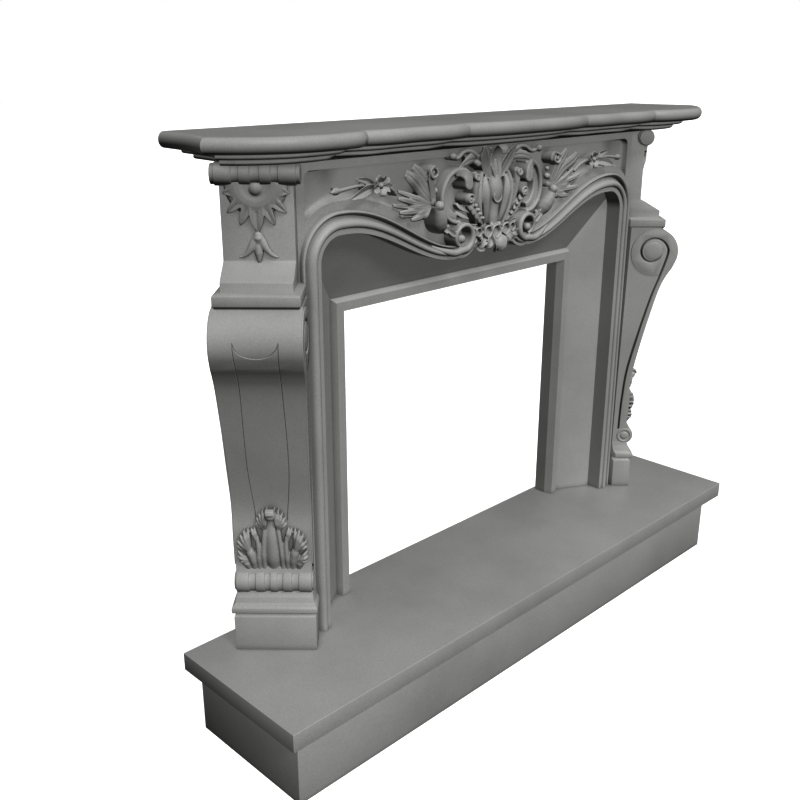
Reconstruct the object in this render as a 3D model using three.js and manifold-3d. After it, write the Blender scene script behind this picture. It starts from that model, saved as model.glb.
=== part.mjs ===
import * as THREE from 'three';
import Module from 'manifold-3d';

// A carved stone fireplace in the Louis XV manner: canted console jambs, a serpentine arch
// with a cartouche, and a moulded shelf, on a raised hearth.
// Millimetres. +X is right, +Y goes back to the wall, +Z is up.
// The origin is the middle of the underside of the hearth.

// Driving dimensions
const GAP = 0.3;
const WALL_Y = 196.2;
const HEARTH = { half: 850, base: 171.2, top: 215, baseSide: 34.5, baseFront: 33.4, baseBack: 10 };
const TOP_OF_STONE = 1285;
const SHELF = { top: 1342, notch: -62, bow: 23, inner: 213, outer: 510, swell: 13 };
const ARCH = { leg: 543, shoulder: 55, crown: 1125.3, swing: 470, dip: 1026, dipX: 130 };
const CURL = { x: 112, z: 1082, r: 56 };
const FRIEZE = { edge: 596.7, border: 56, field: 71.6, back: 87, top: 1261, side: 574.2 };
const FACE_Y = 45;
const JAMB = { centre: -532, inner: 592.3, behind: 597 };
const FRAME = { inner: 404.6, lip: 412, outer: 433.4, foot: 439.4, front: 128, step: 144, back: 184 };
const FRAME_TOP = { inner: 928.6, lip: 936, outer: 957, foot: 965 };
const SLIP = { top: 1104, thick: 30 };
const SLACK = 0.35;

const wasm = await Module();
wasm.setup();

// Solids

// SLACK is how far the skin may move when slivers left by the cuts are closed up
function geometryOf(solid) {
  const mesh = solid.asOriginal().simplify(SLACK).getMesh();
  const geometry = new THREE.BufferGeometry();
  geometry.setAttribute('position', new THREE.BufferAttribute(new Float32Array(mesh.vertProperties), 3));
  geometry.setIndex(new THREE.BufferAttribute(new Uint32Array(mesh.triVerts), 1));
  geometry.computeVertexNormals();
  return geometry;
}

function joined(solids) {
  return solids.reduce((whole, piece) => whole.add(piece));
}

// A closed skin over rings of equal length. The two end rings are closed with flat caps.
function loft(rings) {
  const count = rings[0].length;
  const points = rings.flat();
  const faces = [];
  for (let row = 0; row + 1 < rings.length; row += 1) {
    for (let i = 0; i < count; i += 1) {
      const a = row * count + i;
      const b = row * count + (i + 1) % count;
      faces.push([a, b, b + count], [a, b + count, a + count]);
    }
  }
  for (const [row, flip] of [[0, true], [rings.length - 1, false]]) {
    for (const [a, b, c] of capOf(rings[row])) {
      const start = row * count;
      faces.push(flip ? [start + a, start + c, start + b] : [start + a, start + b, start + c]);
    }
  }
  if (volumeOf(points, faces) < 0) {
    faces.forEach((face) => face.reverse());
  }
  return new wasm.Manifold(new wasm.Mesh({
    numProp: 3,
    vertProperties: new Float32Array(points.flatMap((p) => [p.x, p.y, p.z])),
    triVerts: new Uint32Array(faces.flat()),
  }));
}

// Closes a flat ring with triangles that use every one of its points, the best-shaped corner first
function capOf(ring) {
  const normal = new THREE.Vector3();
  ring.forEach((p, i) => {
    normal.add(new THREE.Vector3().crossVectors(p, ring[(i + 1) % ring.length]));
  });
  normal.normalize();
  const left = ring.map((_, i) => i);
  const triangles = [];
  while (left.length > 3) {
    let best = { worth: -Infinity };
    left.forEach((b, place) => {
      const a = left[(place + left.length - 1) % left.length];
      const c = left[(place + 1) % left.length];
      const corner = new THREE.Triangle(ring[a], ring[b], ring[c]);
      const turn = new THREE.Vector3();
      corner.getNormal(turn);
      const blocked = turn.dot(normal) <= 0 || left.some((other) => ![a, b, c].includes(other)
        && corner.containsPoint(ring[other]) && ring[other].distanceTo(ring[b]) > 1e-6);
      const sides = [[a, b], [b, c], [c, a]].map(([from, to]) => ring[from].distanceTo(ring[to]));
      const longest = Math.max(...sides);
      const worth = (blocked ? -1 : 0) + corner.getArea() / longest ** 2;
      if (worth > best.worth) {
        best = { worth, place, face: [a, b, c] };
      }
    });
    triangles.push(best.face);
    left.splice(best.place, 1);
  }
  triangles.push([...left]);
  return triangles;
}

function volumeOf(points, faces) {
  let sum = 0;
  for (const [a, b, c] of faces) {
    sum += points[a].dot(new THREE.Vector3().crossVectors(points[b], points[c]));
  }
  return sum;
}

// A flat outline pushed along one axis. The outline's two numbers go to the other two axes.
function slab(outline, axis, low, high) {
  const place = {
    x: (a, b, level) => new THREE.Vector3(level, a, b),
    y: (a, b, level) => new THREE.Vector3(a, level, b),
    z: (a, b, level) => new THREE.Vector3(a, b, level),
  }[axis];
  return loft([low, high].map((level) => outline.map(([a, b]) => place(a, b, level))));
}

function block(x0, x1, y0, y1, z0, z1) {
  return slab([[x0, y0], [x1, y0], [x1, y1], [x0, y1]], 'z', z0, z1);
}

function mirrored(points) {
  return points.map(([a, b]) => [-a, b]).reverse();
}

// The shelf: its front runs in five lobes, and every ring of the moulding is set in from the nose

function shelfNose() {
  const half = [];
  for (let i = 0; i < 4; i += 1) {
    const t = i / 4;
    half.push([SHELF.inner * t, SHELF.notch - SHELF.bow * (1 - t ** 3)]);
  }
  for (let i = 0; i < 6; i += 1) {
    const t = i / 6;
    const wave = Math.sin(Math.PI * t) + 0.35 * Math.sin(3 * Math.PI * t);
    half.push([SHELF.inner + (SHELF.outer - SHELF.inner) * t, SHELF.notch - 3 * t - SHELF.swell * wave]);
  }
  half.push([SHELF.outer, -65], [535, -80], [572, -89], [616, -93], [662, -91], [706, -81], [749, -62]);
  half.push([787, -37], [815, -11], [836, 14], [813, 102], [808, WALL_Y]);
  return [...mirrored(half.slice(1)), ...half];
}

// Each point moves in along the bisector of its corner
function setIn(line, inset) {
  return line.map(([x, y], i) => {
    if (i === 0 || i === line.length - 1) {
      return [x - Math.sign(x) * inset, y];
    }
    const before = new THREE.Vector2(x - line[i - 1][0], y - line[i - 1][1]).normalize();
    const after = new THREE.Vector2(line[i + 1][0] - x, line[i + 1][1] - y).normalize();
    const along = before.clone().add(after).normalize();
    const reach = inset / along.dot(before);
    return [x - along.y * reach, y + along.x * reach];
  });
}

function mantelShelf() {
  const nose = [[11, SHELF.top], [3.5, 1338.5], [0, 1331], [0, 1322], [3.5, 1314.5], [11, 1311]];
  const upperBead = [[48, 1309.5], [49, 1302.5], [54, 1298.5]];
  const lowerBead = [[74, 1297.5], [74.5, 1291], [84, TOP_OF_STONE + GAP]];
  const line = shelfNose();
  return loft([...nose, ...upperBead, ...lowerBead].map(([inset, z]) =>
    setIn(line, inset).map(([x, y]) => new THREE.Vector3(x, y, z))));
}

// The arch: one line from the foot of a leg, over the shoulder and down to the curl

function archLine(steps) {
  const line = [[ARCH.leg, HEARTH.top + GAP]];
  const turn = { x: ARCH.leg - ARCH.shoulder, z: ARCH.crown - ARCH.shoulder };
  for (let i = 0; i <= steps.shoulder; i += 1) {
    const angle = Math.PI / 2 * i / steps.shoulder;
    line.push([turn.x + ARCH.shoulder * Math.cos(angle), turn.z + ARCH.shoulder * Math.sin(angle)]);
  }
  const rise = (ARCH.crown - ARCH.dip) / 2;
  for (let i = 0; i < steps.swing; i += 1) {
    const t = i / steps.swing;
    const x = ARCH.swing - (ARCH.swing - ARCH.dipX) * t;
    line.push([x, ARCH.dip + rise * (1 + Math.cos(Math.PI * t))]);
  }
  for (let i = 0; i <= steps.curl; i += 1) {
    const angle = THREE.MathUtils.degToRad(-76 - 59 * i / steps.curl);
    line.push([CURL.x + CURL.r * Math.cos(angle), CURL.z + CURL.r * Math.sin(angle)]);
  }
  return line;
}

const ARCH_STEPS = { shoulder: 6, swing: 10, curl: 3 };

function archOpening(margin) {
  const half = shifted(archLine(ARCH_STEPS), () => -margin);
  half[0][1] = 0;
  return [...half, ...mirrored(half)];
}

// Moves each point of a line square to it, away from the opening, by distance(index)
function shifted(line, distance) {
  return line.map(([x, z], i) => {
    const [x0, z0] = line[Math.max(i - 1, 0)];
    const [x1, z1] = line[Math.min(i + 1, line.length - 1)];
    const along = new THREE.Vector2(x1 - x0, z1 - z0).normalize();
    return [x + along.y * distance(i), z - along.x * distance(i)];
  });
}

// The moulding's section: distance out from the arch edge, and how far forward it stands
const SECTION = [[0, 60], [0, FACE_Y], [13, FACE_Y], [14, 39], [20, 37], [28, 41], [37, 56], [42, 46],
  [46, 43], [49.3, 46], [49.3, 60]];

function archMoulding() {
  const line = archLine(ARCH_STEPS);
  const narrowing = line.map(([x]) => Math.min(1, 0.62 + 0.38 * (x - ARCH.dipX) / (ARCH.swing - ARCH.dipX)));
  const rings = line.map((_, i) => SECTION.map(([out, y]) => {
    const shrink = Math.max(narrowing[i], 0.62);
    const [x, z] = shifted(line, () => out * shrink)[i];
    return new THREE.Vector3(x, y, z);
  }));
  rings[0].forEach((p) => { p.z = HEARTH.top + GAP; });
  return loft(rings);
}

// The sunk panel of the frieze. Its lower edge follows the arch and runs into it near the middle.
function friezePanel() {
  const line = archLine(ARCH_STEPS).slice(2);
  const away = (x) => THREE.MathUtils.clamp(49 + 20 * (x - 260) / 80, 30, 69);
  const edge = shifted(line, (i) => away(line[i][0])).filter(([x, z]) => x < FRIEZE.side - 4);
  const half = [[FRIEZE.side, 1158], ...edge.filter(([, z]) => z > 1045)];
  const corner = 12;
  const outline = [[0, FRIEZE.top], [FRIEZE.side - corner, FRIEZE.top], [FRIEZE.side, FRIEZE.top - corner],
    ...half, [0, 1060]];
  const whole = [...outline, ...mirrored(outline.slice(1, -1))];
  return slab(whole, 'y', FRIEZE.field, 30);
}

// Relief carving

// A ridge of stone along a line drawn on the frieze. half is its half-width and crest its most
// forward y, each as a function of the way along from 0 to 1. The section is a dome or a plain
// keel. With lift its far end comes clear of the ground, as an undercut leaf does.
const DOME = [[-1, 0], [-0.78, 0.7], [0, 1], [0.78, 0.7], [1, 0]];
const KEEL = [[-1, 0], [0, 1], [1, 0]];

function ridge(line, half, crest, { steps = 4, section = DOME, lift = 0 } = {}) {
  const curve = new THREE.SplineCurve(line.map(([x, z]) => new THREE.Vector2(x, z)));
  const rings = [];
  for (let i = 0; i <= steps; i += 1) {
    const t = i / steps;
    const at = curve.getPoint(t);
    const along = curve.getTangent(t);
    const reach = Math.max(half(t), 0.8);
    const ground = FRIEZE.field + 4;
    const free = THREE.MathUtils.smoothstep(t, 0.25, 0.8) * lift;
    const root = ground + (crest(t) + 9 - ground) * free;
    rings.push(section.map(([side, up]) => new THREE.Vector3(
      at.x - along.y * side * reach,
      root + (crest(t) - root) * up,
      at.y + along.x * side * reach,
    )));
  }
  return loft(rings);
}

function leaf(line, width, crest, steps = 3) {
  return ridge(line, leafWidth(width), crest, { steps, section: KEEL, lift: 1 });
}

// A round end that stands out of the frieze: a drum with a domed front, or a flat one
function boss(x, z, radius, crest, { sides = 8, dome = 0.7 } = {}) {
  const root = FRIEZE.field + 4;
  const profile = [[1, root], [1, crest + radius * dome], [0.55, crest]];
  return loft(profile.map(([out, y]) => Array.from({ length: sides }, (_, i) => {
    const angle = 2 * Math.PI * (i + 0.5) / sides;
    return new THREE.Vector3(x + radius * out * Math.cos(angle), y, z + radius * out * Math.sin(angle));
  })));
}

const leafWidth = (half) => (t) => half * Math.sin(Math.PI * Math.min(0.18 + 0.82 * t, 0.985)) ** 0.8;
const even = (value) => () => value;

// A lobed leaf or flower as one skin. Each outline point has its place, the height of the rib or
// the valley that runs from it to the heart, and how far its edge is undercut from the ground.
function palmette(outline, heart, place) {
  const ring = (inward, height) => outline.map(([a, b, rib, under = -4]) => place(
    a + (heart[0] - a) * inward, b + (heart[1] - b) * inward, height(rib, under)));
  return loft([
    ring(0.85, () => -4),
    ring(0, (rib, under) => under),
    ring(0, (rib, under) => (under > 0 ? under + 8 : rib * 0.4)),
    ring(0.4, (rib) => rib),
    ring(0.85, (rib) => rib * 0.6 + 6),
  ]);
}

const onFrieze = (x, z, height) => new THREE.Vector3(x, FRIEZE.field - height, z);

function volute() {
  const turns = [];
  for (let i = 0; i <= 12; i += 1) {
    const t = i / 12;
    const angle = THREE.MathUtils.degToRad(-70 - 400 * t);
    const radius = 31 - 16 * t;
    turns.push([CURL.x + radius * Math.cos(angle), CURL.z + radius * Math.sin(angle)]);
  }
  const rim = ridge(turns, (t) => 7 - 2 * t, even(29), { steps: 12 });
  return [rim, boss(CURL.x + 3, CURL.z - 1, 9, 34, { sides: 6 })];
}

function crossScroll() {
  const sweep = [[108, 1229], [135, 1230], [160, 1218], [176, 1194], [179, 1166], [170, 1136], [146, 1114],
    [122, 1112]];
  return [
    ridge(sweep, (t) => 11 - 3 * t, even(46), { steps: 8 }),
    boss(113, 1206, 16, 27, { sides: 10, dome: 0.15 }),
    boss(77, 1212, 12, 29),
    boss(99, 1163, 14, 30, { dome: 0.4 }),
    ridge([[96, 1152], [78, 1132], [60, 1112], [44, 1096]], leafWidth(11), even(38)),
    leaf([[120, 1150], [106, 1132], [90, 1118], [76, 1100]], 9, even(50)),
  ];
}

function cornucopia() {
  const belly = (t) => 13 + 8 * Math.sin(Math.PI * t);
  return [
    ridge([[210, 1156], [202, 1134], [190, 1112], [180, 1100]], belly, even(22)),
    boss(209, 1159, 12, 20),
    leaf([[184, 1106], [166, 1098], [150, 1088], [138, 1078]], 10, even(36)),
  ];
}

function leafFan() {
  const lobes = [[206, 1150, 30], [222, 1138, 28], [257, 1131, 30, 20], [263, 1143, 18], [292, 1140, 34, 25],
    [291, 1151, 18], [325, 1151, 35, 26], [316, 1161, 18], [345, 1167, 35, 26], [330, 1175, 18],
    [348, 1186, 35, 26], [328, 1192, 18], [341, 1206, 35, 26], [300, 1200, 16], [318, 1245, 35, 26],
    [288, 1222, 16], [276, 1252, 35, 26], [250, 1222, 18], [240, 1240, 36, 20], [222, 1236, 36, 20],
    [220, 1200, 26], [204, 1168, 30]];
  return [palmette(lobes, [216, 1158], onFrieze), boss(226, 1234, 13, 30)];
}

function sprig() {
  const flower = [385, 1219];
  const petals = Array.from({ length: 10 }, (_, i) => {
    const angle = THREE.MathUtils.degToRad(20 + 36 * i);
    const reach = i % 2 ? 12 : 25;
    return [flower[0] + reach * Math.cos(angle), flower[1] + reach * 0.86 * Math.sin(angle),
      i % 2 ? 24 : 36, i % 2 ? 4 : 26];
  });
  return [
    palmette(petals, flower, onFrieze),
    boss(...flower, 8, 28, { sides: 6 }),
    ridge([[326, 1196], [350, 1211], [376, 1217]], even(5), even(46), { steps: 3, section: KEEL }),
    leaf([[398, 1219], [450, 1222], [486, 1219], [512, 1216]], 7, even(36), 4),
    leaf([[400, 1213], [432, 1212], [469, 1200]], 12, even(30)),
    leaf([[400, 1222], [428, 1232], [449, 1235]], 8, even(36)),
  ];
}

function sideLeaves() {
  return [
    leaf([[62, 1252], [86, 1268], [112, 1270], [138, 1256], [157, 1266]], 9, even(44), 5),
    leaf([[60, 1250], [92, 1256], [130, 1240]], 11, even(37)),
    ridge([[44, 1100], [54, 1140], [52, 1180], [38, 1214]], leafWidth(13), even(44)),
  ];
}

function shellAndTongue() {
  const lobes = [[0, 1192, 30], [22, 1200, 26], [38, 1228, 22], [58, 1270, 32, 18], [47, 1278, 32, 18],
    [33, 1252, 18], [30, 1273, 34, 20], [17, 1275, 34, 20], [13, 1254, 20], [10, 1277, 42, 26]];
  const otherLobes = lobes.slice(1).reverse().map(([a, ...rest]) => [-a, ...rest]);
  const outline = [...lobes, ...otherLobes];
  return [
    palmette(outline, [0, 1208], onFrieze),
    ridge([[0, 1098], [0, 1140], [0, 1180], [0, 1212]], (t) => 16 + 16 * Math.sin(Math.PI * t), even(40)),
    boss(0, 1166, 17, 33, { dome: 0.3 }),
  ];
}

function garland() {
  const blooms = [[0, 1062, 26, 30], [43, 1072, 19, 34], [-43, 1072, 19, 34], [71, 1060, 13, 38],
    [-71, 1060, 13, 38]];
  return blooms.map(([x, z, radius, crest]) => boss(x, z, radius, crest));
}

function surround() {
  const opening = slab(archOpening(0), 'y', 0, 200);
  const shape = block(-FRIEZE.edge, FRIEZE.edge, FRIEZE.border, FRIEZE.back, HEARTH.top + GAP, TOP_OF_STONE);
  const half = [archMoulding(), ...volute(), ...crossScroll(), ...cornucopia(), ...leafFan(), ...sprig(),
    ...sideLeaves()];
  const carved = [shape.subtract(opening).subtract(friezePanel()), ...shellAndTongue(), ...garland()];
  const right = joined(half);
  return joined([...carved, right, right.mirror([1, 0, 0])]);
}

// The jambs are drawn at 45 degrees: across is along the face, forward is square to it

function cantedPoint(across, forward, z, side) {
  const u = JAMB.centre + across;
  const x = (u - forward) / Math.SQRT2;
  const y = (-u - forward) / Math.SQRT2;
  return new THREE.Vector3(side * -x, y, z);
}

const BACK_OF_BLOCK = 100;

// A stack of plain courses: height, half-width and forward face of each change of outline
function courses(list, side) {
  return loft(list.map(([z, half, forward]) => [
    cantedPoint(-half, BACK_OF_BLOCK, z, side),
    cantedPoint(-half, forward, z, side),
    cantedPoint(half, forward, z, side),
    cantedPoint(half, BACK_OF_BLOCK, z, side),
  ]));
}

const PLINTH = [[HEARTH.top + GAP, 91, 447.5], [297, 91, 447.5], [307, 86, 441], [311, 86, 441],
  [311.5, 95, 453], [324, 95, 453], [331, 91, 449], [350, 84, 436], [360, 84, 434]];
const NECK = [[1015, 84.5, 488], [1020, 84.5, 490], [1038, 84.5, 490], [1041, 80, 484], [1043, 71.5, 475],
  [1062, 71.5, 475], [1066, 72, 468], [1074, 72, 455], [1082, 72, 443], [1087, 72, 430], [1093, 72, 418.4],
  [TOP_OF_STONE, 72, 418.4]];

// The console seen from its side: forward and height
function consoleOutline() {
  const foot = [];
  for (let i = 0; i <= 6; i += 1) {
    const angle = THREE.MathUtils.degToRad(-90 + 150 * i / 6);
    foot.push([424 + 23.5 * Math.cos(angle), 380.5 + 23.5 * Math.sin(angle)]);
  }
  const shaft = [[429, 424], [432, 500], [429, 545], [435.5, 597], [455, 697], [478, 798], [492, 848],
    [506, 878], [520, 900]];
  const scroll = [];
  for (let i = 0; i <= 7; i += 1) {
    const angle = THREE.MathUtils.degToRad(-22 + 92 * i / 7);
    scroll.push([466 + 67.5 * Math.cos(angle), 945 + 67.5 * Math.sin(angle)]);
  }
  return [[BACK_OF_BLOCK, 357], ...foot, ...shaft, ...scroll, [480, 1016], [BACK_OF_BLOCK, 1016]];
}

function consoleBody(side) {
  const outline = consoleOutline();
  const halfAt = (z) => 83.5 + 6 * THREE.MathUtils.smoothstep(z, 600, 900);
  return loft([-1, 1].map((end) => outline.map(([forward, z]) =>
    cantedPoint(end * halfAt(z), forward, z, side))));
}

// The groove that winds into the big volute and down the side of the console
function sideGroove(side, end) {
  const shaft = [[404, 402], [407, 500], [415, 590], [438, 700], [465, 810], [490, 890]];
  const turns = [];
  for (let i = 0; i <= 10; i += 1) {
    const t = i / 10;
    const angle = THREE.MathUtils.degToRad(-20 + 420 * t);
    const radius = 44 - 24 * t;
    turns.push([461 + radius * Math.cos(angle), 946 + radius * Math.sin(angle)]);
  }
  const curve = new THREE.SplineCurve([...shaft, ...turns].map(([a, b]) => new THREE.Vector2(a, b)));
  const rings = [];
  const steps = 18;
  for (let i = 0; i <= steps; i += 1) {
    const at = curve.getPoint(i / steps);
    const along = curve.getTangent(i / steps);
    const width = 3.5;
    const depth = 5;
    const face = end * 92;
    const floor = end * ((at.y > 700 ? 88 : 83.5) - depth);
    rings.push([[-2.2, face], [0, floor], [2.2, face]].map(([out, across]) => cantedPoint(
      across, at.x - along.y * out * width, at.y + along.x * out * width, side)));
  }
  return loft(rings);
}

// A roll lying across a jamb, with raised bands. bands lists the middle and half-width of each.
function bandedRoll(centre, z, radius, half, bands, side) {
  const low = radius - 2.5;
  const stations = [[-half, low]];
  for (const [middle, reach] of bands) {
    stations.push([middle - reach, low], [middle - reach + 0.5, radius], [middle + reach - 0.5, radius],
      [middle + reach, low]);
  }
  stations.push([half, low]);
  return loft(stations.map(([across, size]) => Array.from({ length: 11 }, (_, i) => {
    const angle = 2 * Math.PI * i / 11;
    return cantedPoint(across, centre + size * Math.cos(angle), z + size * Math.sin(angle), side);
  })));
}

// A leaf on the face of a jamb: lobes is one half of its outline, from the middle round to the middle
function jambLeaf(lobes, heart, face, side) {
  const other = lobes.slice(1, -1).reverse().map(([across, ...rest]) => [-across, ...rest]);
  const onFace = (across, z, height) => cantedPoint(across, face + height, z, side);
  return palmette([...lobes, ...other], heart, onFace);
}

const FOOT_LEAF = [[0, 411, 5], [57, 412, 5], [77, 460, 10], [65, 474, 3], [76, 504, 11], [60, 526, 11],
  [51, 513, 3], [44, 544, 12], [27, 554, 12], [20, 536, 3], [13, 561, 13], [0, 568, 15]];
const ROSETTE = [[0, 1243, 18], [56, 1243, 4], [65, 1226, 9], [46, 1213, 3], [58, 1188, 9], [36, 1196, 3],
  [34, 1164, 9], [17, 1184, 3], [0, 1151, 12]];
const BELLFLOWER = [[0, 1148, 9], [10, 1140, 9], [37, 1102, 7], [11, 1116, 3], [8, 1100, 8], [0, 1088, 8]];

function jamb(side) {
  const footRoll = bandedRoll(424, 380.5, 26.5, 84, [[-69, 14], [-30, 10], [0, 8], [30, 10], [69, 14]], side);
  const topRoll = bandedRoll(419, 1262.6, 22.5, 86.5, [[-62, 17], [-20, 11], [20, 11], [62, 17]], side);
  const whole = joined([courses(PLINTH, side), consoleBody(side), courses(NECK, side), topRoll, footRoll,
    jambLeaf(FOOT_LEAF, [0, 425], 431, side), jambLeaf(ROSETTE, [0, 1234], 418.4, side),
    jambLeaf(BELLFLOWER, [0, 1134], 418.4, side)]);
  const grooved = [1, -1].reduce((stone, end) => stone.subtract(sideGroove(side, end)), whole);
  return grooved.intersect(jambPlan(side));
}

// Where the block stops: at the wall behind, and at the edge of the surround beside it
function jambPlan(side) {
  const plan = [[JAMB.inner, -500], [JAMB.inner, FRIEZE.border - GAP], [JAMB.behind, FRIEZE.border - GAP],
    [JAMB.behind, WALL_Y], [1000, WALL_Y], [1000, -500]].map(([x, y]) => [side * x, y]);
  return slab(plan, 'z', 0, TOP_OF_STONE);
}

// Behind the arch

function sideSlip(side) {
  const slope = (FRAME.step - FRIEZE.back - GAP) / (ARCH.leg - FRAME.foot);
  const far = ARCH.leg + 30;
  const plan = [[FRAME.foot + GAP, FRAME.step], [ARCH.leg, FRAME.step - slope * (ARCH.leg - FRAME.foot)],
    [far, FRIEZE.back + GAP], [far, FRIEZE.back + SLIP.thick], [FRAME.foot + 20, FRAME.step + SLIP.thick],
    [FRAME.foot + GAP, FRAME.step + SLIP.thick]].map(([x, y]) => [side * x, y]);
  const under = mitreOutline(-GAP).map(([x, z]) => [side * x, z]);
  return slab(plan, 'z', HEARTH.top + GAP, 1400).intersect(slab(under, 'y', 0, 300));
}

// The mitre between a side slip and the head slip, seen from the front
function mitreOutline(lift) {
  const slope = (SLIP.top - FRAME_TOP.foot) / (ARCH.leg - FRAME.foot);
  const at = (x) => FRAME_TOP.foot + lift + slope * (x - FRAME.foot);
  return [[300, 0], [700, 0], [700, at(700)], [300, at(300)]];
}

function headSlip() {
  const slope = (FRAME.step - FRIEZE.back) / (SLIP.top - FRAME_TOP.foot);
  const reach = 74;
  const topOfWedge = FRAME_TOP.foot + (FRAME.step - reach) / slope;
  const section = [[FRAME.step, FRAME_TOP.foot + GAP], [reach, topOfWedge + GAP], [reach, 1150],
    [FRIEZE.back + SLIP.thick, 1150], [FRAME.step + SLIP.thick, FRAME_TOP.foot + 20],
    [FRAME.step + SLIP.thick, FRAME_TOP.foot + GAP]];
  const bar = slab(section, 'x', -ARCH.leg - 20, ARCH.leg + 20);
  const clear = [1, -1].map((side) => slab(mitreOutline(0.1).map(([x, z]) => [side * x, z]), 'y', 0, 300));
  const behind = block(-700, 700, FRIEZE.back + GAP, 300, 0, 1400);
  const inArch = slab(archOpening(GAP + 0.1), 'y', 0, 95);
  return joined([bar.intersect(behind), bar.intersect(inArch)]).subtract(clear[0]).subtract(clear[1]);
}

function fireboxFrame() {
  const part = (half, top) => [[-half, HEARTH.top + GAP], [-half, top], [half, top], [half, HEARTH.top + GAP]];
  const at = (outline, y) => outline.map(([x, z]) => new THREE.Vector3(x, y, z));
  const outer = [[part(FRAME.outer, FRAME_TOP.outer), FRAME.front],
    [part(FRAME.foot, FRAME_TOP.foot), FRAME.step], [part(FRAME.foot, FRAME_TOP.foot), FRAME.back]];
  const lower = (outline) => outline.map(([x, z]) => [x, z < HEARTH.top + 1 ? 0 : z]);
  const bevel = 22;
  const flare = FRAME.lip - FRAME.inner;
  const inner = [[part(FRAME.lip + flare, FRAME_TOP.lip + flare), FRAME.front - bevel],
    [part(FRAME.inner, FRAME_TOP.inner), FRAME.front + bevel],
    [part(FRAME.inner, FRAME_TOP.inner), FRAME.back + bevel]];
  return loft(outer.map(([outline, y]) => at(outline, y)))
    .subtract(loft(inner.map(([outline, y]) => at(lower(outline), y))));
}

// Hearth

function hearthBase() {
  const { half, base, baseSide, baseFront, baseBack } = HEARTH;
  return block(-half + baseSide, half - baseSide, -WALL_Y + baseFront, WALL_Y - baseBack, 0, base);
}

function hearthSlab() {
  return block(-HEARTH.half, HEARTH.half, -WALL_Y, WALL_Y, HEARTH.base + GAP, HEARTH.top);
}

// The finished object

const stone = () => new THREE.MeshStandardMaterial({ color: 0x8f8d88, roughness: 0.78, metalness: 0 });
const pieces = {
  hearth_base: hearthBase(),
  hearth_slab: hearthSlab(),
  left_jamb: jamb(-1),
  right_jamb: jamb(1),
  surround: surround(),
  mantel_shelf: mantelShelf(),
  left_slip: sideSlip(-1),
  right_slip: sideSlip(1),
  head_slip: headSlip(),
  firebox_frame: fireboxFrame(),
};

const fireplace = new THREE.Group();
for (const [name, solid] of Object.entries(pieces)) {
  const mesh = new THREE.Mesh(geometryOf(solid), stone());
  mesh.name = name;
  fireplace.add(mesh);
}

export default fireplace;
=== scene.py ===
# %% [markdown]
# A carved stone fireplace with canted console jambs, a serpentine arch and a moulded shelf.
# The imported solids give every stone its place. This lesson dresses them: each stone gets the fine
# surface that a carver leaves, and then its finish. A render needs three things besides the stone:
# a floor, soft light and a camera. We start by loading the solids and keeping their outer box,
# because the finished stones must not grow past it.

# %% Load the solids
import math

import bmesh
import bpy
import numpy as np
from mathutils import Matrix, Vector
from mathutils.geometry import delaunay_2d_cdt


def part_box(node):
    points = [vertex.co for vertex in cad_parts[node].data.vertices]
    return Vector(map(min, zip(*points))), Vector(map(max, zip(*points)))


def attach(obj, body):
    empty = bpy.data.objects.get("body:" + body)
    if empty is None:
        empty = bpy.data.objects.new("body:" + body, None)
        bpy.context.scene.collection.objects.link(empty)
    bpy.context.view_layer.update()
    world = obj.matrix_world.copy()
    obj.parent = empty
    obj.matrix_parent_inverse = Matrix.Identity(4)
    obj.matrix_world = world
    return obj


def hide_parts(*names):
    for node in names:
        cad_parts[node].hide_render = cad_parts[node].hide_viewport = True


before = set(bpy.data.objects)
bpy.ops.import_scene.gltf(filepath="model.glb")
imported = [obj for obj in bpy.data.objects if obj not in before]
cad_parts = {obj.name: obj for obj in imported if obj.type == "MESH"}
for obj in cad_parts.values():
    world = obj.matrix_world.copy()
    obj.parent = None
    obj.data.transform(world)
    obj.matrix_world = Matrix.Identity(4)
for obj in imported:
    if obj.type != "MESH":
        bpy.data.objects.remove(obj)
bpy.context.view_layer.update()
MM = 0.001
print("solids:", sorted(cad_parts))

# %% [markdown]
# Masons draw in millimetres and Blender works in metres, so every shape below is written in
# millimetres and turned into metres in one place, when its mesh is made. The main levels come from
# the boxes of the solids, so the stones meet where the solids do. Two depths are the drawing's own:
# the face of the surround's border and the ground of its sunk panel.

# %% Levels read from the solids


def box_mm(node):
    """The low and the high corner of a solid."""
    low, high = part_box(node)
    return np.array(low) / MM, np.array(high) / MM


SLAB_LOW, SLAB_HIGH = box_mm("hearth_slab")
BASE_LOW, BASE_HIGH = box_mm("hearth_base")
FRIEZE_HIGH = box_mm("surround")[1]
SHELF_LOW, SHELF_HIGH = box_mm("mantel_shelf")
HEARTH_TOP = SLAB_HIGH[2]
SHELF_TOP = SHELF_HIGH[2]
WALL = SLAB_HIGH[1]
STONE_TOP = FRIEZE_HIGH[2]
EDGE = FRIEZE_HIGH[0]
BACK = FRIEZE_HIGH[1]
BORDER_Y = 56.0
FIELD_Y = 71.6
print("hearth top", round(HEARTH_TOP, 1), "shelf top", round(SHELF_TOP, 1), "wall", round(WALL, 1))

# %% [markdown]
# Most of the work is done by one idea: a skin stretched over a row of rings. A shelf, a moulding, a
# leaf and a scroll are all skins, and only their rings differ. The rings could come from curve
# objects with bevels, but rings in code let the width, height and twist change along the way.

# %% Skins and smooth lines


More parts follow.
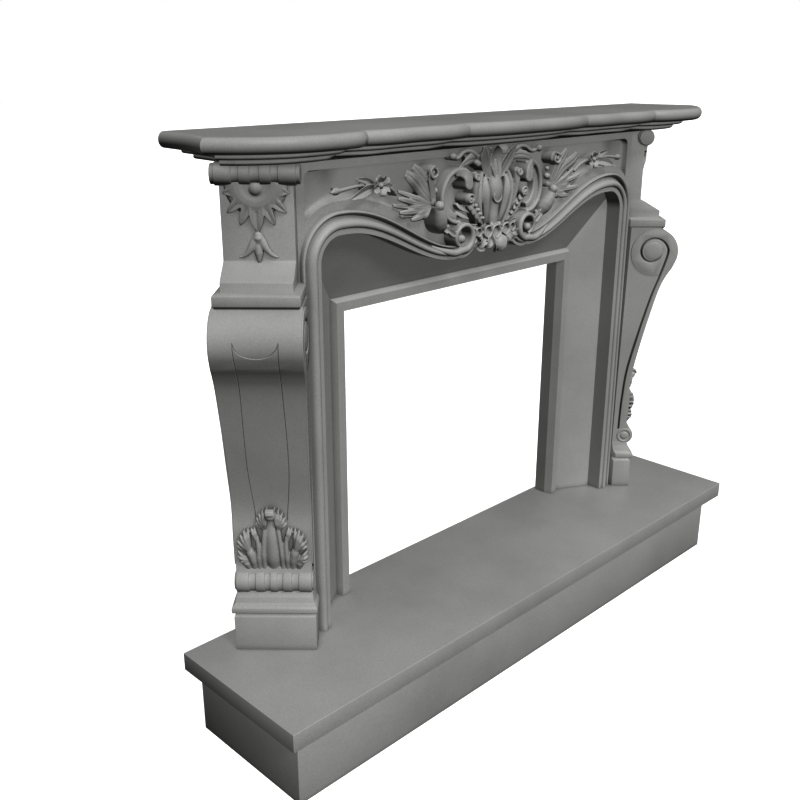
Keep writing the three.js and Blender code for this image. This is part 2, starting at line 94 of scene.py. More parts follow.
def smooth_line(points, count):
    """Evenly spaced points on a smooth line through the given ones."""
    p = np.array(points, float)
    p = np.vstack([2 * p[0] - p[1], p, 2 * p[-1] - p[-2]])
    spans = len(p) - 3
    dense = []
    for u in np.linspace(0, spans, 24 * spans + 1):
        i = min(int(u), spans - 1)
        t = u - i
        a, b, c, d = p[i:i + 4]
        dense.append(0.5 * (2 * b + (c - a) * t + (2 * a - 5 * b + 4 * c - d) * t * t
                            + (3 * b - a - 3 * c + d) * t ** 3))
    dense = np.array(dense)
    run = np.concatenate([[0], np.cumsum(np.linalg.norm(np.diff(dense, axis=0), axis=1))])
    stops = np.linspace(0, run[-1], count)
    return np.column_stack([np.interp(stops, run, dense[:, k]) for k in range(dense.shape[1])])


def skin(rings):
    """Points and faces of a closed body stretched over rings of equal length."""
    count = len(rings[0])
    points = np.vstack(rings)
    faces = []
    for row in range(len(rings) - 1):
        for i in range(count):
            a = row * count + i
            b = row * count + (i + 1) % count
            faces.append((a, b, b + count, a + count))
    last = len(points) - count
    faces.append(tuple(reversed(range(count))))
    faces.append(tuple(range(last, last + count)))
    return points, faces


def mirrored(body):
    """The same body on the other side of the middle."""
    points, faces = body
    return points * [-1, 1, 1], faces


print("a skin over 3 rings of 8 points has", len(skin([np.zeros((8, 3))] * 3)[1]), "faces")

# %% [markdown]
# Every skin then takes the same way to a stone. It becomes an object, a bevel or a cut is worked
# into its mesh, it is hung on the frame's root, and the solid it stands for is hidden. The modifiers
# could stay live, but a finished mesh can be counted and measured at once, and nothing in it changes later.

# %% Pieces, bevels and cuts

STONES = []
ARRIS = math.radians(28)


def piece(name, bodies, crisp=28):
    """One object from one or more bodies given in millimetres. Crisp is the angle, in degrees,
    over which an edge is shaded sharp."""
    build = bmesh.new()
    for points, faces in bodies:
        corners = [build.verts.new(Vector(p) * MM) for p in points]
        for face in faces:
            build.faces.new([corners[i] for i in face])
    bmesh.ops.recalc_face_normals(build, faces=build.faces)
    mesh = bpy.data.meshes.new(name)
    build.to_mesh(mesh)
    build.free()
    made = bpy.data.objects.new(name, mesh)
    bpy.context.collection.objects.link(made)
    mesh.shade_smooth()
    mesh.set_sharp_from_angle(angle=math.radians(crisp))
    return made


def settled(made):
    """Bakes an object's modifiers into its mesh."""
    graph = bpy.context.evaluated_depsgraph_get()
    mesh = bpy.data.meshes.new_from_object(made.evaluated_get(graph))
    made.modifiers.clear()
    made.data = mesh
    return made


def eased(made, width, segments=2):
    """Softens the sharp arrises, as rubbing with a stone does."""
    ease = made.modifiers.new("ease", "BEVEL")
    ease.width = width * MM
    ease.segments = segments
    ease.limit_method = "ANGLE"
    ease.angle_limit = ARRIS
    settled(made)
    made.data.shade_smooth()
    made.data.set_sharp_from_angle(angle=math.radians(40))
    return made


def cut(made, tool, keep_common=False):
    """Cuts one object with another, or keeps only what both share, and removes the tool."""
    chop = made.modifiers.new("cut", "BOOLEAN")
    chop.operation = "INTERSECT" if keep_common else "DIFFERENCE"
    chop.solver = "EXACT"
    chop.object = tool
    settled(made)
    bpy.data.objects.remove(tool)
    return made


def slab(plan, low, high):
    """A flat plan pushed up from one level to another."""
    plan = np.array(plan, float)
    return skin([np.column_stack([plan, np.full(len(plan), level)]) for level in (low, high)])


def stand_for(made, *nodes):
    """Hangs a piece on the frame's root, hides the solid it stands for, and counts its triangles."""
    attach(made, "root")
    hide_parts(*nodes)
    STONES.append(made)
    made.data.calc_loop_triangles()
    print(f"{made.name}: {len(made.data.loop_triangles)} triangles")
    return made


print("an edge over", round(math.degrees(ARRIS)), "degrees counts as an arris")

# %% [markdown]
# The hearth is a sawn slab on a plain base. A box with knife edges never looks like stone, because
# real arrises are rubbed down by a millimetre or two so that they don't chip. A bevel does that.

# %% Hearth


def plain_block(name, low, high, ease):
    """A sawn block between two corners, with its arrises rubbed down."""
    plan = [(low[0], low[1]), (high[0], low[1]), (high[0], high[1]), (low[0], high[1])]
    return eased(piece(name, [slab(plan, low[2], high[2])]), ease, 3)


stand_for(plain_block("hearth_top_slab", SLAB_LOW, SLAB_HIGH, 1.6), "hearth_slab")
stand_for(plain_block("hearth_base_course", BASE_LOW, BASE_HIGH, 2.0), "hearth_base")

# %% [markdown]
# The shelf has five bowed lobes that meet in sharp creases, and one moulding runs round them all. A
# mason cuts such a shelf with a template pushed along its edge. Setting the plan in by a distance
# for each height of the template does the same, and keeps the creases as clean mitres. A sweep
# along a curve would round the creases off.

# %% Shelf

NOTCH_Y, MIDDLE_BOW, SIDE_SWELL = -62.0, 23.0, 13.0
MIDDLE_HALF, SIDE_END = 213.0, 510.0
CORNER_LOBE = [(510, -65), (535, -80), (572, -89), (616, -93), (662, -91), (706, -81), (749, -62),
               (787, -37), (815, -11), (836, 14)]
SHELF_END = [(813, 102), (808, WALL)]


def shelf_plan():
    """The shelf's edge from its left end round the front to its right end."""
    half = []
    for t in np.linspace(0, 1, 15)[:-1]:
        half.append((MIDDLE_HALF * t, NOTCH_Y - MIDDLE_BOW * (1 - t ** 3)))
    for t in np.linspace(0, 1, 23)[:-1]:
        wave = math.sin(math.pi * t) + 0.35 * math.sin(3 * math.pi * t)
        half.append((MIDDLE_HALF + (SIDE_END - MIDDLE_HALF) * t, NOTCH_Y - 3 * t - SIDE_SWELL * wave))
    half += [tuple(p) for p in smooth_line(CORNER_LOBE, 36)]
    half += SHELF_END
    left = [(-x, y) for x, y in reversed(half[1:])]
    return np.array(left + half)


def set_in(line, distance):
    """The same line moved in by a distance, with mitred corners."""
    moved = line.copy()
    along = np.diff(line, axis=0)
    along /= np.linalg.norm(along, axis=1)[:, None]
    for i in range(1, len(line) - 1):
        bisector = along[i - 1] + along[i]
        bisector /= np.linalg.norm(bisector)
        reach = distance / bisector.dot(along[i - 1])
        moved[i] = line[i] + np.array([-bisector[1], bisector[0]]) * reach
    moved[0, 0] += distance
    moved[-1, 0] -= distance
    return moved


def half_round(inset, low, high, depth, steps):
    """The template of a bead: pairs of inset and height, from its top round to its foot."""
    middle, radius = (low + high) / 2, (high - low) / 2
    turn = np.radians(np.linspace(90, -90, steps))
    return [(inset + depth * (1 - math.cos(a)), middle + radius * math.sin(a)) for a in turn]


template = half_round(0.0, SHELF_TOP - 31, SHELF_TOP, 13, 15)
template += half_round(48.5, SHELF_TOP - 43.6, SHELF_TOP - 32.6, 6.5, 9)
template += half_round(74.3, SHELF_TOP - 55.8, SHELF_TOP - 44.8, 6.5, 9)
template.append((86, SHELF_LOW[2]))
plan = shelf_plan()
shelf = piece("moulded_shelf", [skin([np.column_stack([set_in(plan, inset), np.full(len(plan), z)])
                                      for inset, z in template])])
stand_for(shelf, "mantel_shelf")

# %% [markdown]
# The surround is one great slab. Its arch line climbs each leg, turns over a shoulder, swings down
# towards the middle and curls under the volute. The line is drawn once here, as arcs and a cosine,
# and the opening, the moulding and the sunk panel are all measured from it.

# %% The arch line

LEG, SHOULDER, CROWN = 543.0, 55.0, 1125.3
SWING, DIP, DIP_X = 470.0, 1026.0, 130.0
VOLUTE = np.array([112.0, 1082.0])
CURL_RADIUS = 56.0


def arch_line():
    """Right half of the opening's edge, from the hearth up to the curl under the volute."""
    line = [(LEG, HEARTH_TOP + 0.3)]
    line += [(LEG, z) for z in np.linspace(HEARTH_TOP + 100, CROWN - SHOULDER - 60, 8)]
    for angle in np.radians(np.linspace(0, 90, 17)):
        line.append((LEG - SHOULDER + SHOULDER * math.cos(angle),
                     CROWN - SHOULDER + SHOULDER * math.sin(angle)))
    rise = (CROWN - DIP) / 2
    for t in np.linspace(0, 1, 41)[:-1]:
        line.append((SWING - (SWING - DIP_X) * t, DIP + rise * (1 + math.cos(math.pi * t))))
    for angle in np.radians(np.linspace(-76, -135, 9)):
        line.append(tuple(VOLUTE + CURL_RADIUS * np.array([math.cos(angle), math.sin(angle)])))
    return np.array(line)


def moved_out(line, distance):
    """The line moved square to itself, away from the opening."""
    ahead = np.roll(line, -1, axis=0)
    behind = np.roll(line, 1, axis=0)
    ahead[-1], behind[0] = line[-1], line[0]
    along = ahead - behind
    along /= np.linalg.norm(along, axis=1)[:, None]
    return line + np.column_stack([along[:, 1], -along[:, 0]]) * np.reshape(distance, (-1, 1))


ARCH = arch_line()
print("arch line of", len(ARCH), "points, crown at", round(ARCH[:, 1].max(), 1))

# %% [markdown]
# The face of the surround is flat apart from the sunk panel, whose sides run in a hollow curve. Such
# a face could be cut with booleans and beveled, but the hollow dies away towards the middle, which
# a bevel can't do. So the face is drawn as nested outlines, each with its own depth, and a
# triangulation that keeps every outline as an edge joins them.

# %% Face of the surround

PANEL_TOP, PANEL_SIDE, PANEL_CORNER = 1261.0, 574.2, 18.0
SHOULDER_START = 17
PANEL_HOLLOW = [(0.0, 0.0), (0.04, 0.18), (0.12, 0.42), (0.28, 0.68), (0.5, 0.87), (0.75, 0.97), (1.0, 1.0)]


def panel_outline():
    """Half of the sunk panel: point, and how wide its hollow side is there."""
    points = [(0.0, PANEL_TOP, 3.0)]
    points += [(x, PANEL_TOP, 2.2 + 3.0 * max(0.0, (x - 515) / 35)) for x in np.linspace(60, 550, 12)]
    middle = (PANEL_SIDE - PANEL_CORNER, PANEL_TOP - PANEL_CORNER)
    for angle in np.radians(np.linspace(90, 0, 7)):
        points.append((middle[0] + PANEL_CORNER * math.cos(angle),
                       middle[1] + PANEL_CORNER * math.sin(angle), 6.0))
    points += [(PANEL_SIDE, z, width) for z, width in ((1225, 5), (1205, 5), (1188, 5), (1172, 3))]
    points.append((PANEL_SIDE, 1158.0, 0.0))
    swing = ARCH[SHOULDER_START:]
    away = np.interp(swing[:, 0], [200, 262, 340, 560], [26, 40, 69, 69])
    edge = moved_out(swing, away)
    width = np.interp(swing[:, 0], [262, 340, 490, 525], [0.8, 8, 17, 6])
    points += [(x, z, w) for (x, z), w in zip(edge, width) if x < PANEL_SIDE - 6 and z > 1050 and x > 150]
    points.append((120.0, 1052.0, 0.5))
    points.append((0.0, 1052.0, 0.5))
    return np.array(points)


def nested(outline, share):
    """The outline moved in by a share of its hollow's width."""
    line = outline[:, :2]
    ahead = np.roll(line, -1, axis=0)
    behind = np.roll(line, 1, axis=0)
    ahead[-1] = line[-1] - [1, 0]
    behind[0] = line[0] - [1, 0]
    along = ahead - behind
    along /= np.linalg.norm(along, axis=1)[:, None]
    inward = np.column_stack([along[:, 1], -along[:, 0]])
    return line + inward * (outline[:, 2] * share)[:, None]


def both_halves(line):
    """A half outline and its mirror image as one closed outline."""
    left = line[::-1] * [-1, 1]
    return np.vstack([line, left[1:-1]]) if abs(line[0, 0]) < 1e-9 else np.vstack([line, left])


def surround_face():
    """The front of the surround as points and triangles, with the panel sunk in."""
    outline = panel_outline()
    rings = [(both_halves(nested(outline, share)), depth) for share, depth in PANEL_HOLLOW]
    opening = both_halves(ARCH)
    opening = opening[np.abs(opening[:, 0]) > 1e-6]
    corners = np.array([(EDGE, HEARTH_TOP + 0.3), (EDGE, STONE_TOP), (-EDGE, STONE_TOP),
                        (-EDGE, HEARTH_TOP + 0.3)])
    rim = np.vstack([corners, opening[::-1]])
    points, edges = list(rim), []
    edges += [(i, (i + 1) % len(rim)) for i in range(len(rim))]
    depths = [0.0] * len(rim)
    for ring, depth in rings:
        start = len(points)
        points += list(ring)
        depths += [depth] * len(ring)
        edges += [(start + i, start + (i + 1) % len(ring)) for i in range(len(ring))]
    result = delaunay_2d_cdt([Vector(p) for p in points], edges, [list(range(len(rim)))], 1, 1e-4)
    flat, faces, origins = result[0], result[2], result[3]
    depth_of = [min((depths[i] for i in origin), default=0.0) for origin in origins]
    front = [(p.x, BORDER_Y + (FIELD_Y - BORDER_Y) * d, p.y) for p, d in zip(flat, depth_of)]
    return front, [tuple(f) for f in faces]


def with_back(front, faces, back):
    """Closes a face drawn from the front with a flat back and straight sides."""
    count = len(front)
    points = front + [(x, back, z) for x, _, z in front]
    border = {}
    for face in faces:
        for a, b in zip(face, face[1:] + face[:1]):
            if (b, a) in border:
                del border[(b, a)]
            else:
                border[(a, b)] = True
    sides = [(b, a, a + count, b + count) for a, b in border]
    behind = [tuple(i + count for i in reversed(face)) for face in faces]
    return np.array(points), faces + behind + sides


front, faces = surround_face()
surround_stone = piece("surround_slab", [with_back(front, faces, BACK)], crisp=35)
stand_for(surround_stone, "surround")

# %% [markdown]
# The moulding of the arch is a flat fillet, a step, a fat roll, a deep hollow and a bead. It gets
# thinner towards the middle, so the template is scaled as it goes along the line.

# %% Arch moulding

ARCH_TEMPLATE = [(0.05, 60), (0.05, 45.6), (0.7, 45), (12.6, 45), (13.4, 44.2), (13.8, 40.6), (15, 38.9),
                 (17.5, 37.4), (20.5, 36.9), (23.5, 37.5), (26, 39), (28.4, 41.4), (30.6, 44.6),
                 (32.6, 48.6), (34.4, 53), (36, 55.4), (38, 55.4), (39.4, 52.6), (40.6, 48.4),
                 (41.8, 45.6), (43.4, 43.8), (45.4, 43), (47.4, 43.6), (48.8, 45.4), (49.4, 48),
                 (49.4, 60)]


def arch_moulding():
    """The template carried along the arch line, smaller towards the middle."""
    scale = np.clip(0.62 + 0.38 * (ARCH[:, 0] - DIP_X) / (SWING - DIP_X), 0.62, 1)
    lines = []
    for out, y in ARCH_TEMPLATE:
        line = moved_out(ARCH, out * scale)
        line[0, 1] = ARCH[0, 1]
        lines.append(np.column_stack([line[:, 0], np.full(len(line), y), line[:, 1]]))
    return skin(list(np.stack(lines, axis=1)))


moulding = arch_moulding()
stand_for(piece("arch_moulding", [moulding, mirrored(moulding)], crisp=32), "surround")

# %% [markdown]
# The relief is carved from the same block and stands up to 54 mm out of its ground. It could be
# sculpted by hand, but a script has to build it from lines. Each leaf, scroll and petal is first its
# own closed skin in carver's terms: sideways, up, and height out of the ground. The two simplest
# forms are a band, which follows a line, and a form turned on a lathe, such as a knob.

# %% Bands, turned forms and balls

SINK = 5.0


def number_along(value, count):
    """A width or height along a form: one number, a list of stops, or a function."""
    t = np.linspace(0, 1, count)
    if callable(value):
        return np.array([value(s) for s in t])
    if np.ndim(value):
        stops = np.linspace(0, 1, len(value))
        reach = max(1, count // 16)
        padded = np.pad(np.interp(t, stops, value), reach, mode="edge")
        return np.convolve(padded, np.full(2 * reach + 1, 1 / (2 * reach + 1)), "valid")
    return np.full(count, float(value))


def band(line, half, height, count=40, section="round"):
    """A raised band along a line: a round rib or a flat strap."""
    path = smooth_line(line, count)
    halves, tops = number_along(half, count), number_along(height, count)
    along = np.gradient(path, axis=0)
    along /= np.linalg.norm(along, axis=1)[:, None]
    side = np.column_stack([-along[:, 1], along[:, 0]])
    turn = np.radians(np.linspace(180, 0, 13))
    across, up = np.cos(turn), np.sin(turn)
    if section == "flat":
        across, up = np.sign(across) * np.abs(across) ** 0.35, np.sin(turn) ** 0.3
    rings = []
    for p, s, h, top in zip(path, side, halves, tops):
        shape = [(a, top - min(h, top) * (1 - u)) for a, u in zip(across, up)]
        shape = [(-1.0, -SINK), *shape, (1.0, -SINK)]
        rings.append(np.array([(*(p + s * a * h), level) for a, level in shape]))
    return skin(rings)


def turned(a, b, profile, count=32):
    """A form turned on a lathe standing out of the ground: pairs of radius and height."""
    angles = np.linspace(0, 2 * math.pi, count, endpoint=False)
    return skin([np.column_stack([a + radius * np.cos(angles), b + radius * np.sin(angles),
                                  np.full(count, height)]) for radius, height in profile])


def ball(a, b, height, radius, squash=1.0):
    """A ball whose front is at the given height. Squash flattens it."""
    turn = np.radians(np.linspace(-86, 86, 15))
    middle = height - radius * squash
    return turned(a, b, [(radius * math.cos(t), middle + radius * squash * math.sin(t)) for t in turn], 28)


print("a short band has", len(band([(0, 0), (40, 0)], 5, 10)[0]), "points")

# %% [markdown]
# A carved leaf is a thin curved sheet with a rib, and its tip is undercut so that it stands free. It
# could be a flat sheet with a bend modifier, but here it is a skin again, and each of its rings holds
# the hollow, the rib and the teeth of the edge. Past a given stretch of the spine its underside
# leaves the ground, which gives the dark gap under a leaf tip.

# %% Leaves and petals


def blade(line, half, cup=0.0, rib=0.0, thick=5.0, free=(0.3, 0.7), teeth=0, bite=0.3,
          count=48, across=17, one_edge=False):
    """A leaf: a spine with a height at each point, a width, a hollow or a crown, a rib and teeth.
    The free stretch is where its underside leaves the ground. With one_edge, only one edge has
    teeth."""
    spine = smooth_line(line, count)
    halves = number_along(half, count)
    along = np.gradient(spine, axis=0)
    along /= np.linalg.norm(along, axis=1)[:, None]
    side = np.column_stack([-along[:, 1], along[:, 0], np.zeros(count)])
    lengths = np.linalg.norm(side, axis=1)
    side = side / np.maximum(lengths, 1e-6)[:, None]
    for i in range(1, count):
        if lengths[i] < 0.25 or side[i].dot(side[i - 1]) < 0:
            side[i] = side[i - 1]
    normal = np.cross(side, along)
    normal *= np.sign(normal[0, 2] or 1)
    for i in range(1, count):
        if normal[i].dot(normal[i - 1]) < 0:
            normal[i] *= -1
    s = np.linspace(-1, 1, across)
    t = np.linspace(0, 1, count)
    lift = np.clip((t - free[0]) / max(free[1] - free[0], 1e-6), 0, 1)
    lift = lift * lift * (3 - 2 * lift)
    rings = []
    for i in range(count):
        saw = (t[i] * teeth) % 1.0 if teeth else 0.0
        notch = bite * (1 - saw) ** 2 * (1 if teeth and t[i] > 0.12 else 0)
        left = 1.0 if one_edge else 1 - notch
        reach = np.where(s < 0, left, 1 - notch) * s * halves[i]
        crown = cup * halves[i] * (s ** 2) - rib * np.exp(-(s / 0.16) ** 2)
        crown -= notch * 2.5 * np.abs(s)
        edge = thick * (0.35 + 0.65 * (1 - s ** 2))
        top = spine[i] + np.outer(reach, side[i]) + np.outer(crown, normal[i])
        low = top - np.outer(edge, normal[i])
        ground = np.column_stack([top[:, 0], top[:, 1], np.full(across, -SINK)])
        low = ground + (low - ground) * lift[i]
        rings.append(np.vstack([top, low[::-1]]))
    return skin(rings)


def leaf_half(width, sharp=0.8, belly=0.18):
    """The width of a leaf along its spine: narrow root, belly and pointed tip."""
    return lambda t: width * math.sin(math.pi * min(belly + (1 - belly) * t, 0.985)) ** sharp


def petal_half(width):
    """A petal: narrow at the heart, widest past the middle, with a round end."""
    return lambda t: width * (0.35 + 0.65 * math.sin(math.pi * min(t, 0.62) / 1.24)) * math.sqrt(
        max(1 - max(0.0, (t - 0.6) / 0.42) ** 2, 0.01))


print("half-width of a petal along its spine:", [round(petal_half(10)(t), 1) for t in (0, 0.5, 1)])

# %% [markdown]
# A voxel remesh then melts the overlapping skins into one body, a little smoothing rounds them as a
# rasp would, and a decimation keeps the mesh light. Booleans could join them too, but they keep a
# hard edge wherever two forms meet, and they are slow with so many skins.

# %% Melting skins into a carving


def carved(name, bodies, grain, triangles):
    """Melts overlapping skins into one carved body. Grain is the size of a voxel."""
    made = piece(name, bodies)
    melt = made.modifiers.new("melt", "REMESH")
    melt.mode = "VOXEL"
    melt.voxel_size = grain * MM
    rub = made.modifiers.new("rub", "SMOOTH")
    rub.factor = 0.5
    rub.iterations = 2
    settled(made)
    made.data.calc_loop_triangles()
    count = len(made.data.loop_triangles)
    if count > triangles:
        thin = made.modifiers.new("thin", "DECIMATE")
        thin.ratio = triangles / count
        settled(made)
    made.data.shade_smooth()
    return made


def on_frieze(body):
    """Lays a carving on the ground of the sunk panel."""
    points, body_faces = body
    return np.column_stack([points[:, 0], FIELD_Y - points[:, 2], points[:, 1]]), body_faces


print("the frieze's ground lies", round(FIELD_Y - BORDER_Y, 1), "mm behind its border")

# %% [markdown]
# The cartouche fills the middle of the frieze. Two volutes end the arch moulding, two straps sweep
# over them and curl back at the top, and small volutes and notched leaves lie inside the straps. A
# volute could be one long band, but it is a ring, a floor and an eye here, so that each can have its
# own height. Only the right half is drawn, and mirrored, as a master drawing is folded.

# %% Volutes and straps

VOLUTE_EYE = (118.0, 1077.0)


def around(middle, stops, start, turn):
    """Points on a spiral: radius stops evenly spaced over a turn in degrees."""
    angles = np.radians(start + turn * np.linspace(0, 1, len(stops)))
    return [(middle[0] + r * math.cos(a), middle[1] + r * math.sin(a)) for r, a in zip(stops, angles)]


def volute():
    """The ring that ends the arch moulding, its sunk floor and the leaf-like eye."""
    run_in = [(214, 1066), (190, 1055.5), (166, 1047.5), (146, 1043.5)]
    turns = around(VOLUTE_EYE, [31, 31, 31, 30.6, 30, 29, 28, 27.2, 26.6, 26, 24.6, 22], -82, -345)
    rim = band(run_in + turns, [3, 5, 6.5, 8, 8.6, 8.6, 8.4, 8, 7.4, 6.6, 6, 5.6, 5.2, 4.8, 4.4, 3.4],
               [26, 30, 37, 42, 43.5, 44, 44, 44, 44, 43.5, 43, 42.5, 42, 41, 39, 35], count=120)
    floor = turned(*VOLUTE_EYE, [(30, -SINK), (30, 4), (26, 7), (1, 7)], 48)
    eye = blade([(136, 1060, 18), (133, 1064, 30), (127, 1070, 38), (120, 1076, 39), (113, 1081, 30)],
                [7, 11, 12.5, 10.5, 4], cup=-0.6, thick=16, free=(0.0, 0.1))
    return [rim, floor, eye, ball(122, 1073, 41, 10.5)]


def curled_tip(a, b, height, radius, start):
    """The rolled end of a leaf: a ring that winds in on a small bead, with a hollow between them."""
    radii = [radius - inset for inset in (3.4, 3.4, 3.8, 4.6, 5.6)]
    tops = [height - drop for drop in (3, 0, 0, 1, 2)]
    return [turned(a, b, [(radius - 1, -SINK), (radius - 0.5, height - 12), (1, height - 11)], 28),
            band(around((a, b), radii, start, -330), [3.4, 3.6, 3.6, 3.2, 2.4], tops, count=50),
            ball(a + 1, b - 1, height - 2.5, radius * 0.3)]


def strap():
    """A thin outer and a broad inner strap, the hook at their top and the curl beside it."""
    sweep = [(108, 1229), (122, 1231), (138, 1229.5), (158, 1219), (172, 1200), (179, 1178), (179, 1156),
             (170, 1134), (154, 1119), (136, 1112), (122, 1112)]
    inner = [(118, 1217), (132, 1218), (148, 1210), (160, 1196), (166, 1177), (165, 1158), (157, 1142),
             (144, 1130), (128, 1124)]
    hook = [
        band([(142, 1224), (130, 1225), (119, 1221), (112, 1211), (110, 1197)], [8, 11, 13, 13.4, 13],
             [30, 38, 43, 45, 45], count=44, section="flat"),
        turned(110, 1197, [(13, -SINK), (13, 41), (11.8, 44.2), (9, 45), (1, 45)], 32),
        band([(126, 1218), (119, 1214), (116, 1204)], 5, [30, 36, 36], count=20)]
    curl = [ball(78, 1211, 31, 10), *curled_tip(77, 1212, 43, 11.5, 60)]
    return [
        band(sweep, [5.5, 6, 6, 6, 6, 6, 6, 6, 5.5, 5, 4.5],
             [34, 33, 32, 30, 29, 28, 28, 28, 29, 30, 30], count=80),
        band(inner, [7, 8, 9, 9.5, 9.5, 9, 8, 7],
             [28, 25, 22, 20, 19, 19, 20, 22, 22], count=60, section="flat"),
        *hook, *curl]


def small_volute():
    """The drum beside the tongue, with a ring that winds in on a bead."""
    ring = around((99.5, 1163), [11, 11, 10.6, 10, 9.2, 8.2, 7, 5.6], -120, -420)
    drum = turned(99.5, 1163, [(13.2, -SINK), (13.6, 34), (12.6, 37), (1, 37)])
    return [drum, band(ring, [2.6, 2.8, 2.8, 2.6, 2.4, 2], 42, count=60), ball(101, 1163, 43, 4.6)]


def notched_leaf():
    """The leaf that hangs from the small volute, with knuckles along its inner edge."""
    spine = [(98, 1154, 34), (88, 1142, 36), (76, 1129, 37), (63, 1114, 36), (52, 1103, 33), (44, 1095, 28)]
    body = blade(spine, leaf_half(11, 0.6, 0.3), cup=-0.25, rib=1.5, thick=8, free=(0.0, 0.01),
                 teeth=5, bite=0.35, one_edge=True)
    knuckles = []
    for share in (0.18, 0.36, 0.54, 0.72):
        x = 98 + (44 - 98) * share - 7
        z = 1154 + (1095 - 1154) * share + 3
        knuckles.append(ball(x, z, 44 - 5 * share, 5.4 - 1.6 * share))
    dark_tips = [
        blade([(118, 1152, 12), (112, 1144, 16), (100, 1136, 22), (88, 1128, 26)], leaf_half(5), thick=4),
        blade([(120, 1132, 10), (110, 1126, 15), (98, 1119, 20), (84, 1114, 24)], leaf_half(5), thick=4),
    ]
    return [body, *knuckles, *dark_tips]


print("volute, strap, small volute and notched leaf drawn")

# %% [markdown]
# The middle of the cartouche is drawn whole, because it lies on the fold of the drawing. The lobes
# of the shell fan out, and the middle one rolls forward into a lip. Under the shell a tongue with
# fluted sides runs down to a garland of half-open flowers and petals. Copies of one petal would be
# shorter to write, but carved petals differ, so each has its own spine.

# %% Shell, tongue and garland


def shell():
    """Five lobes, of which the middle one curls over into a lip."""
    middle = blade([(0, 1196, 34), (0, 1215, 31), (0, 1238, 25), (0, 1256, 26), (0, 1270, 32), (0, 1279, 40),
                    (0, 1280, 48), (0, 1272, 54), (0, 1260, 54)],
                   [8, 13, 18, 20, 20, 19, 17.5, 15, 10], cup=0.2, thick=4, free=(0.35, 0.5))
    keel = band([(0, 1204), (0, 1224), (0, 1244)], [5, 6, 3], [34, 32, 27], count=30)
    beside = blade([(5, 1198, 29), (14, 1216, 27), (23, 1240, 27), (29, 1260, 32), (31, 1274, 39)],
                   [6, 9, 10, 9, 3], cup=-0.3, thick=6, free=(0.6, 0.9))
    outer = blade([(10, 1200, 24), (26, 1216, 23), (40, 1238, 26), (50, 1260, 33), (57, 1279, 40)],
                  [6, 12, 15.5, 14, 2.6], cup=0.3, rib=-1.4, thick=6, free=(0.6, 0.9))
    return [middle, keel, beside, mirrored(beside), outer, mirrored(outer)]


def tongue():
    """A smooth tongue with a ring button on it, between flanks, flutes and wings."""
    middle = band([(0, 1094), (0, 1112), (0, 1134), (0, 1156), (0, 1178), (0, 1196), (0, 1210), (0, 1218)],
                  [15, 17, 18, 20, 25, 28, 23, 12], [30, 33, 33, 36, 41, 42, 38, 30], count=64)
    button = band(around((0, 1160), [14] * 13, 0, 360), 2.2, 38.4, count=60)
    flank = blade([(24, 1094, 22), (29, 1116, 31), (34, 1142, 37), (38, 1168, 41), (39, 1190, 38),
                   (36, 1208, 30)], [7, 9, 11, 13.5, 12, 5], cup=-0.6, thick=10, free=(2, 3))
    flute = band([(40, 1094), (50, 1120), (57, 1148), (58, 1178), (52, 1204), (42, 1222)],
                 [4, 6, 7, 7.4, 7, 5], [24, 31, 34, 35, 33, 26], count=44)
    wing = band([(52, 1098), (64, 1124), (72, 1152), (75, 1178), (75, 1200), (76, 1212)],
                [4, 5.5, 6.5, 8, 9.5, 10], [18, 25, 30, 35, 39, 40], count=44)
    return [middle, button, flank, mirrored(flank), flute, mirrored(flute), wing, mirrored(wing)]


def cup_flower(a, b, height, radius):
    """A half-open flower: a thick lobed rim round a deep hollow."""
    bowl = turned(a, b, [(radius * 0.8, -SINK), (radius * 0.92, height - 10), (radius * 1.02, height - 4),
                         (radius * 0.95, height - 0.4), (radius * 0.8, height), (radius * 0.64, height - 3),
                         (radius * 0.5, height - 9), (1, height - 10)], 40)
    ring = np.arctan2(bowl[0][:, 1] - b, bowl[0][:, 0] - a)
    lobes = 1 + 0.05 * np.cos(5 * ring + 0.6)
    bowl[0][:, 0] = a + (bowl[0][:, 0] - a) * lobes
    bowl[0][:, 1] = b + (bowl[0][:, 1] - b) * lobes
    return bowl


def garland():
    """Five half-open flowers in a row, with petals hanging under and between them."""
    bodies = [cup_flower(0, 1077, 39, 18)]
    bodies.append(blade([(0, 1066, 30), (0, 1056, 40), (0, 1044, 43), (0, 1036, 40), (0, 1030, 33)],
                        [12, 19, 21, 17, 8], cup=0.6, thick=7, free=(0.3, 0.6)))
    for side in (1, -1):
        bodies += [cup_flower(side * 33, 1080, 41, 16), cup_flower(side * 62, 1081, 36, 12)]
        for spine, width in (([(20, 1068, 28), (27, 1058, 38), (34, 1048, 40), (38, 1040, 34)], 10.5),
                             ([(42, 1072, 26), (49, 1062, 36), (56, 1053, 38), (62, 1047, 31)], 10),
                             ([(60, 1072, 22), (70, 1068, 31), (80, 1064, 33), (88, 1062, 26)], 8),
                             ([(58, 1090, 20), (66, 1094, 28), (75, 1096, 30), (83, 1096, 22)], 6.5),
                             ([(20, 1050, 18), (30, 1041, 25), (42, 1037, 26), (54, 1040, 20)], 6.5)):
            spine = [(side * across, z, height) for across, z, height in spine]
            bodies.append(blade(spine, petal_half(width), cup=0.5, thick=5, free=(0.3, 0.6),
                                count=26, across=13))
        bodies.append(ball(side * 14, 1093, 36, 6))
    return bodies


print("shell, tongue and garland drawn")

# %% [markdown]
# Beside the straps hang a horn with a knob and a crumpled leaf, and tendrils spring from the shell.
# Farther out a fan of leaves curls over, and a sprig with one flower ends each side. The lobes of
# the fan could be cut into one big leaf, but as ten blades that share a function each can be set
# by its tip, its bend, its width and how far it rises.

# %% Horn, tendrils, fan and sprig


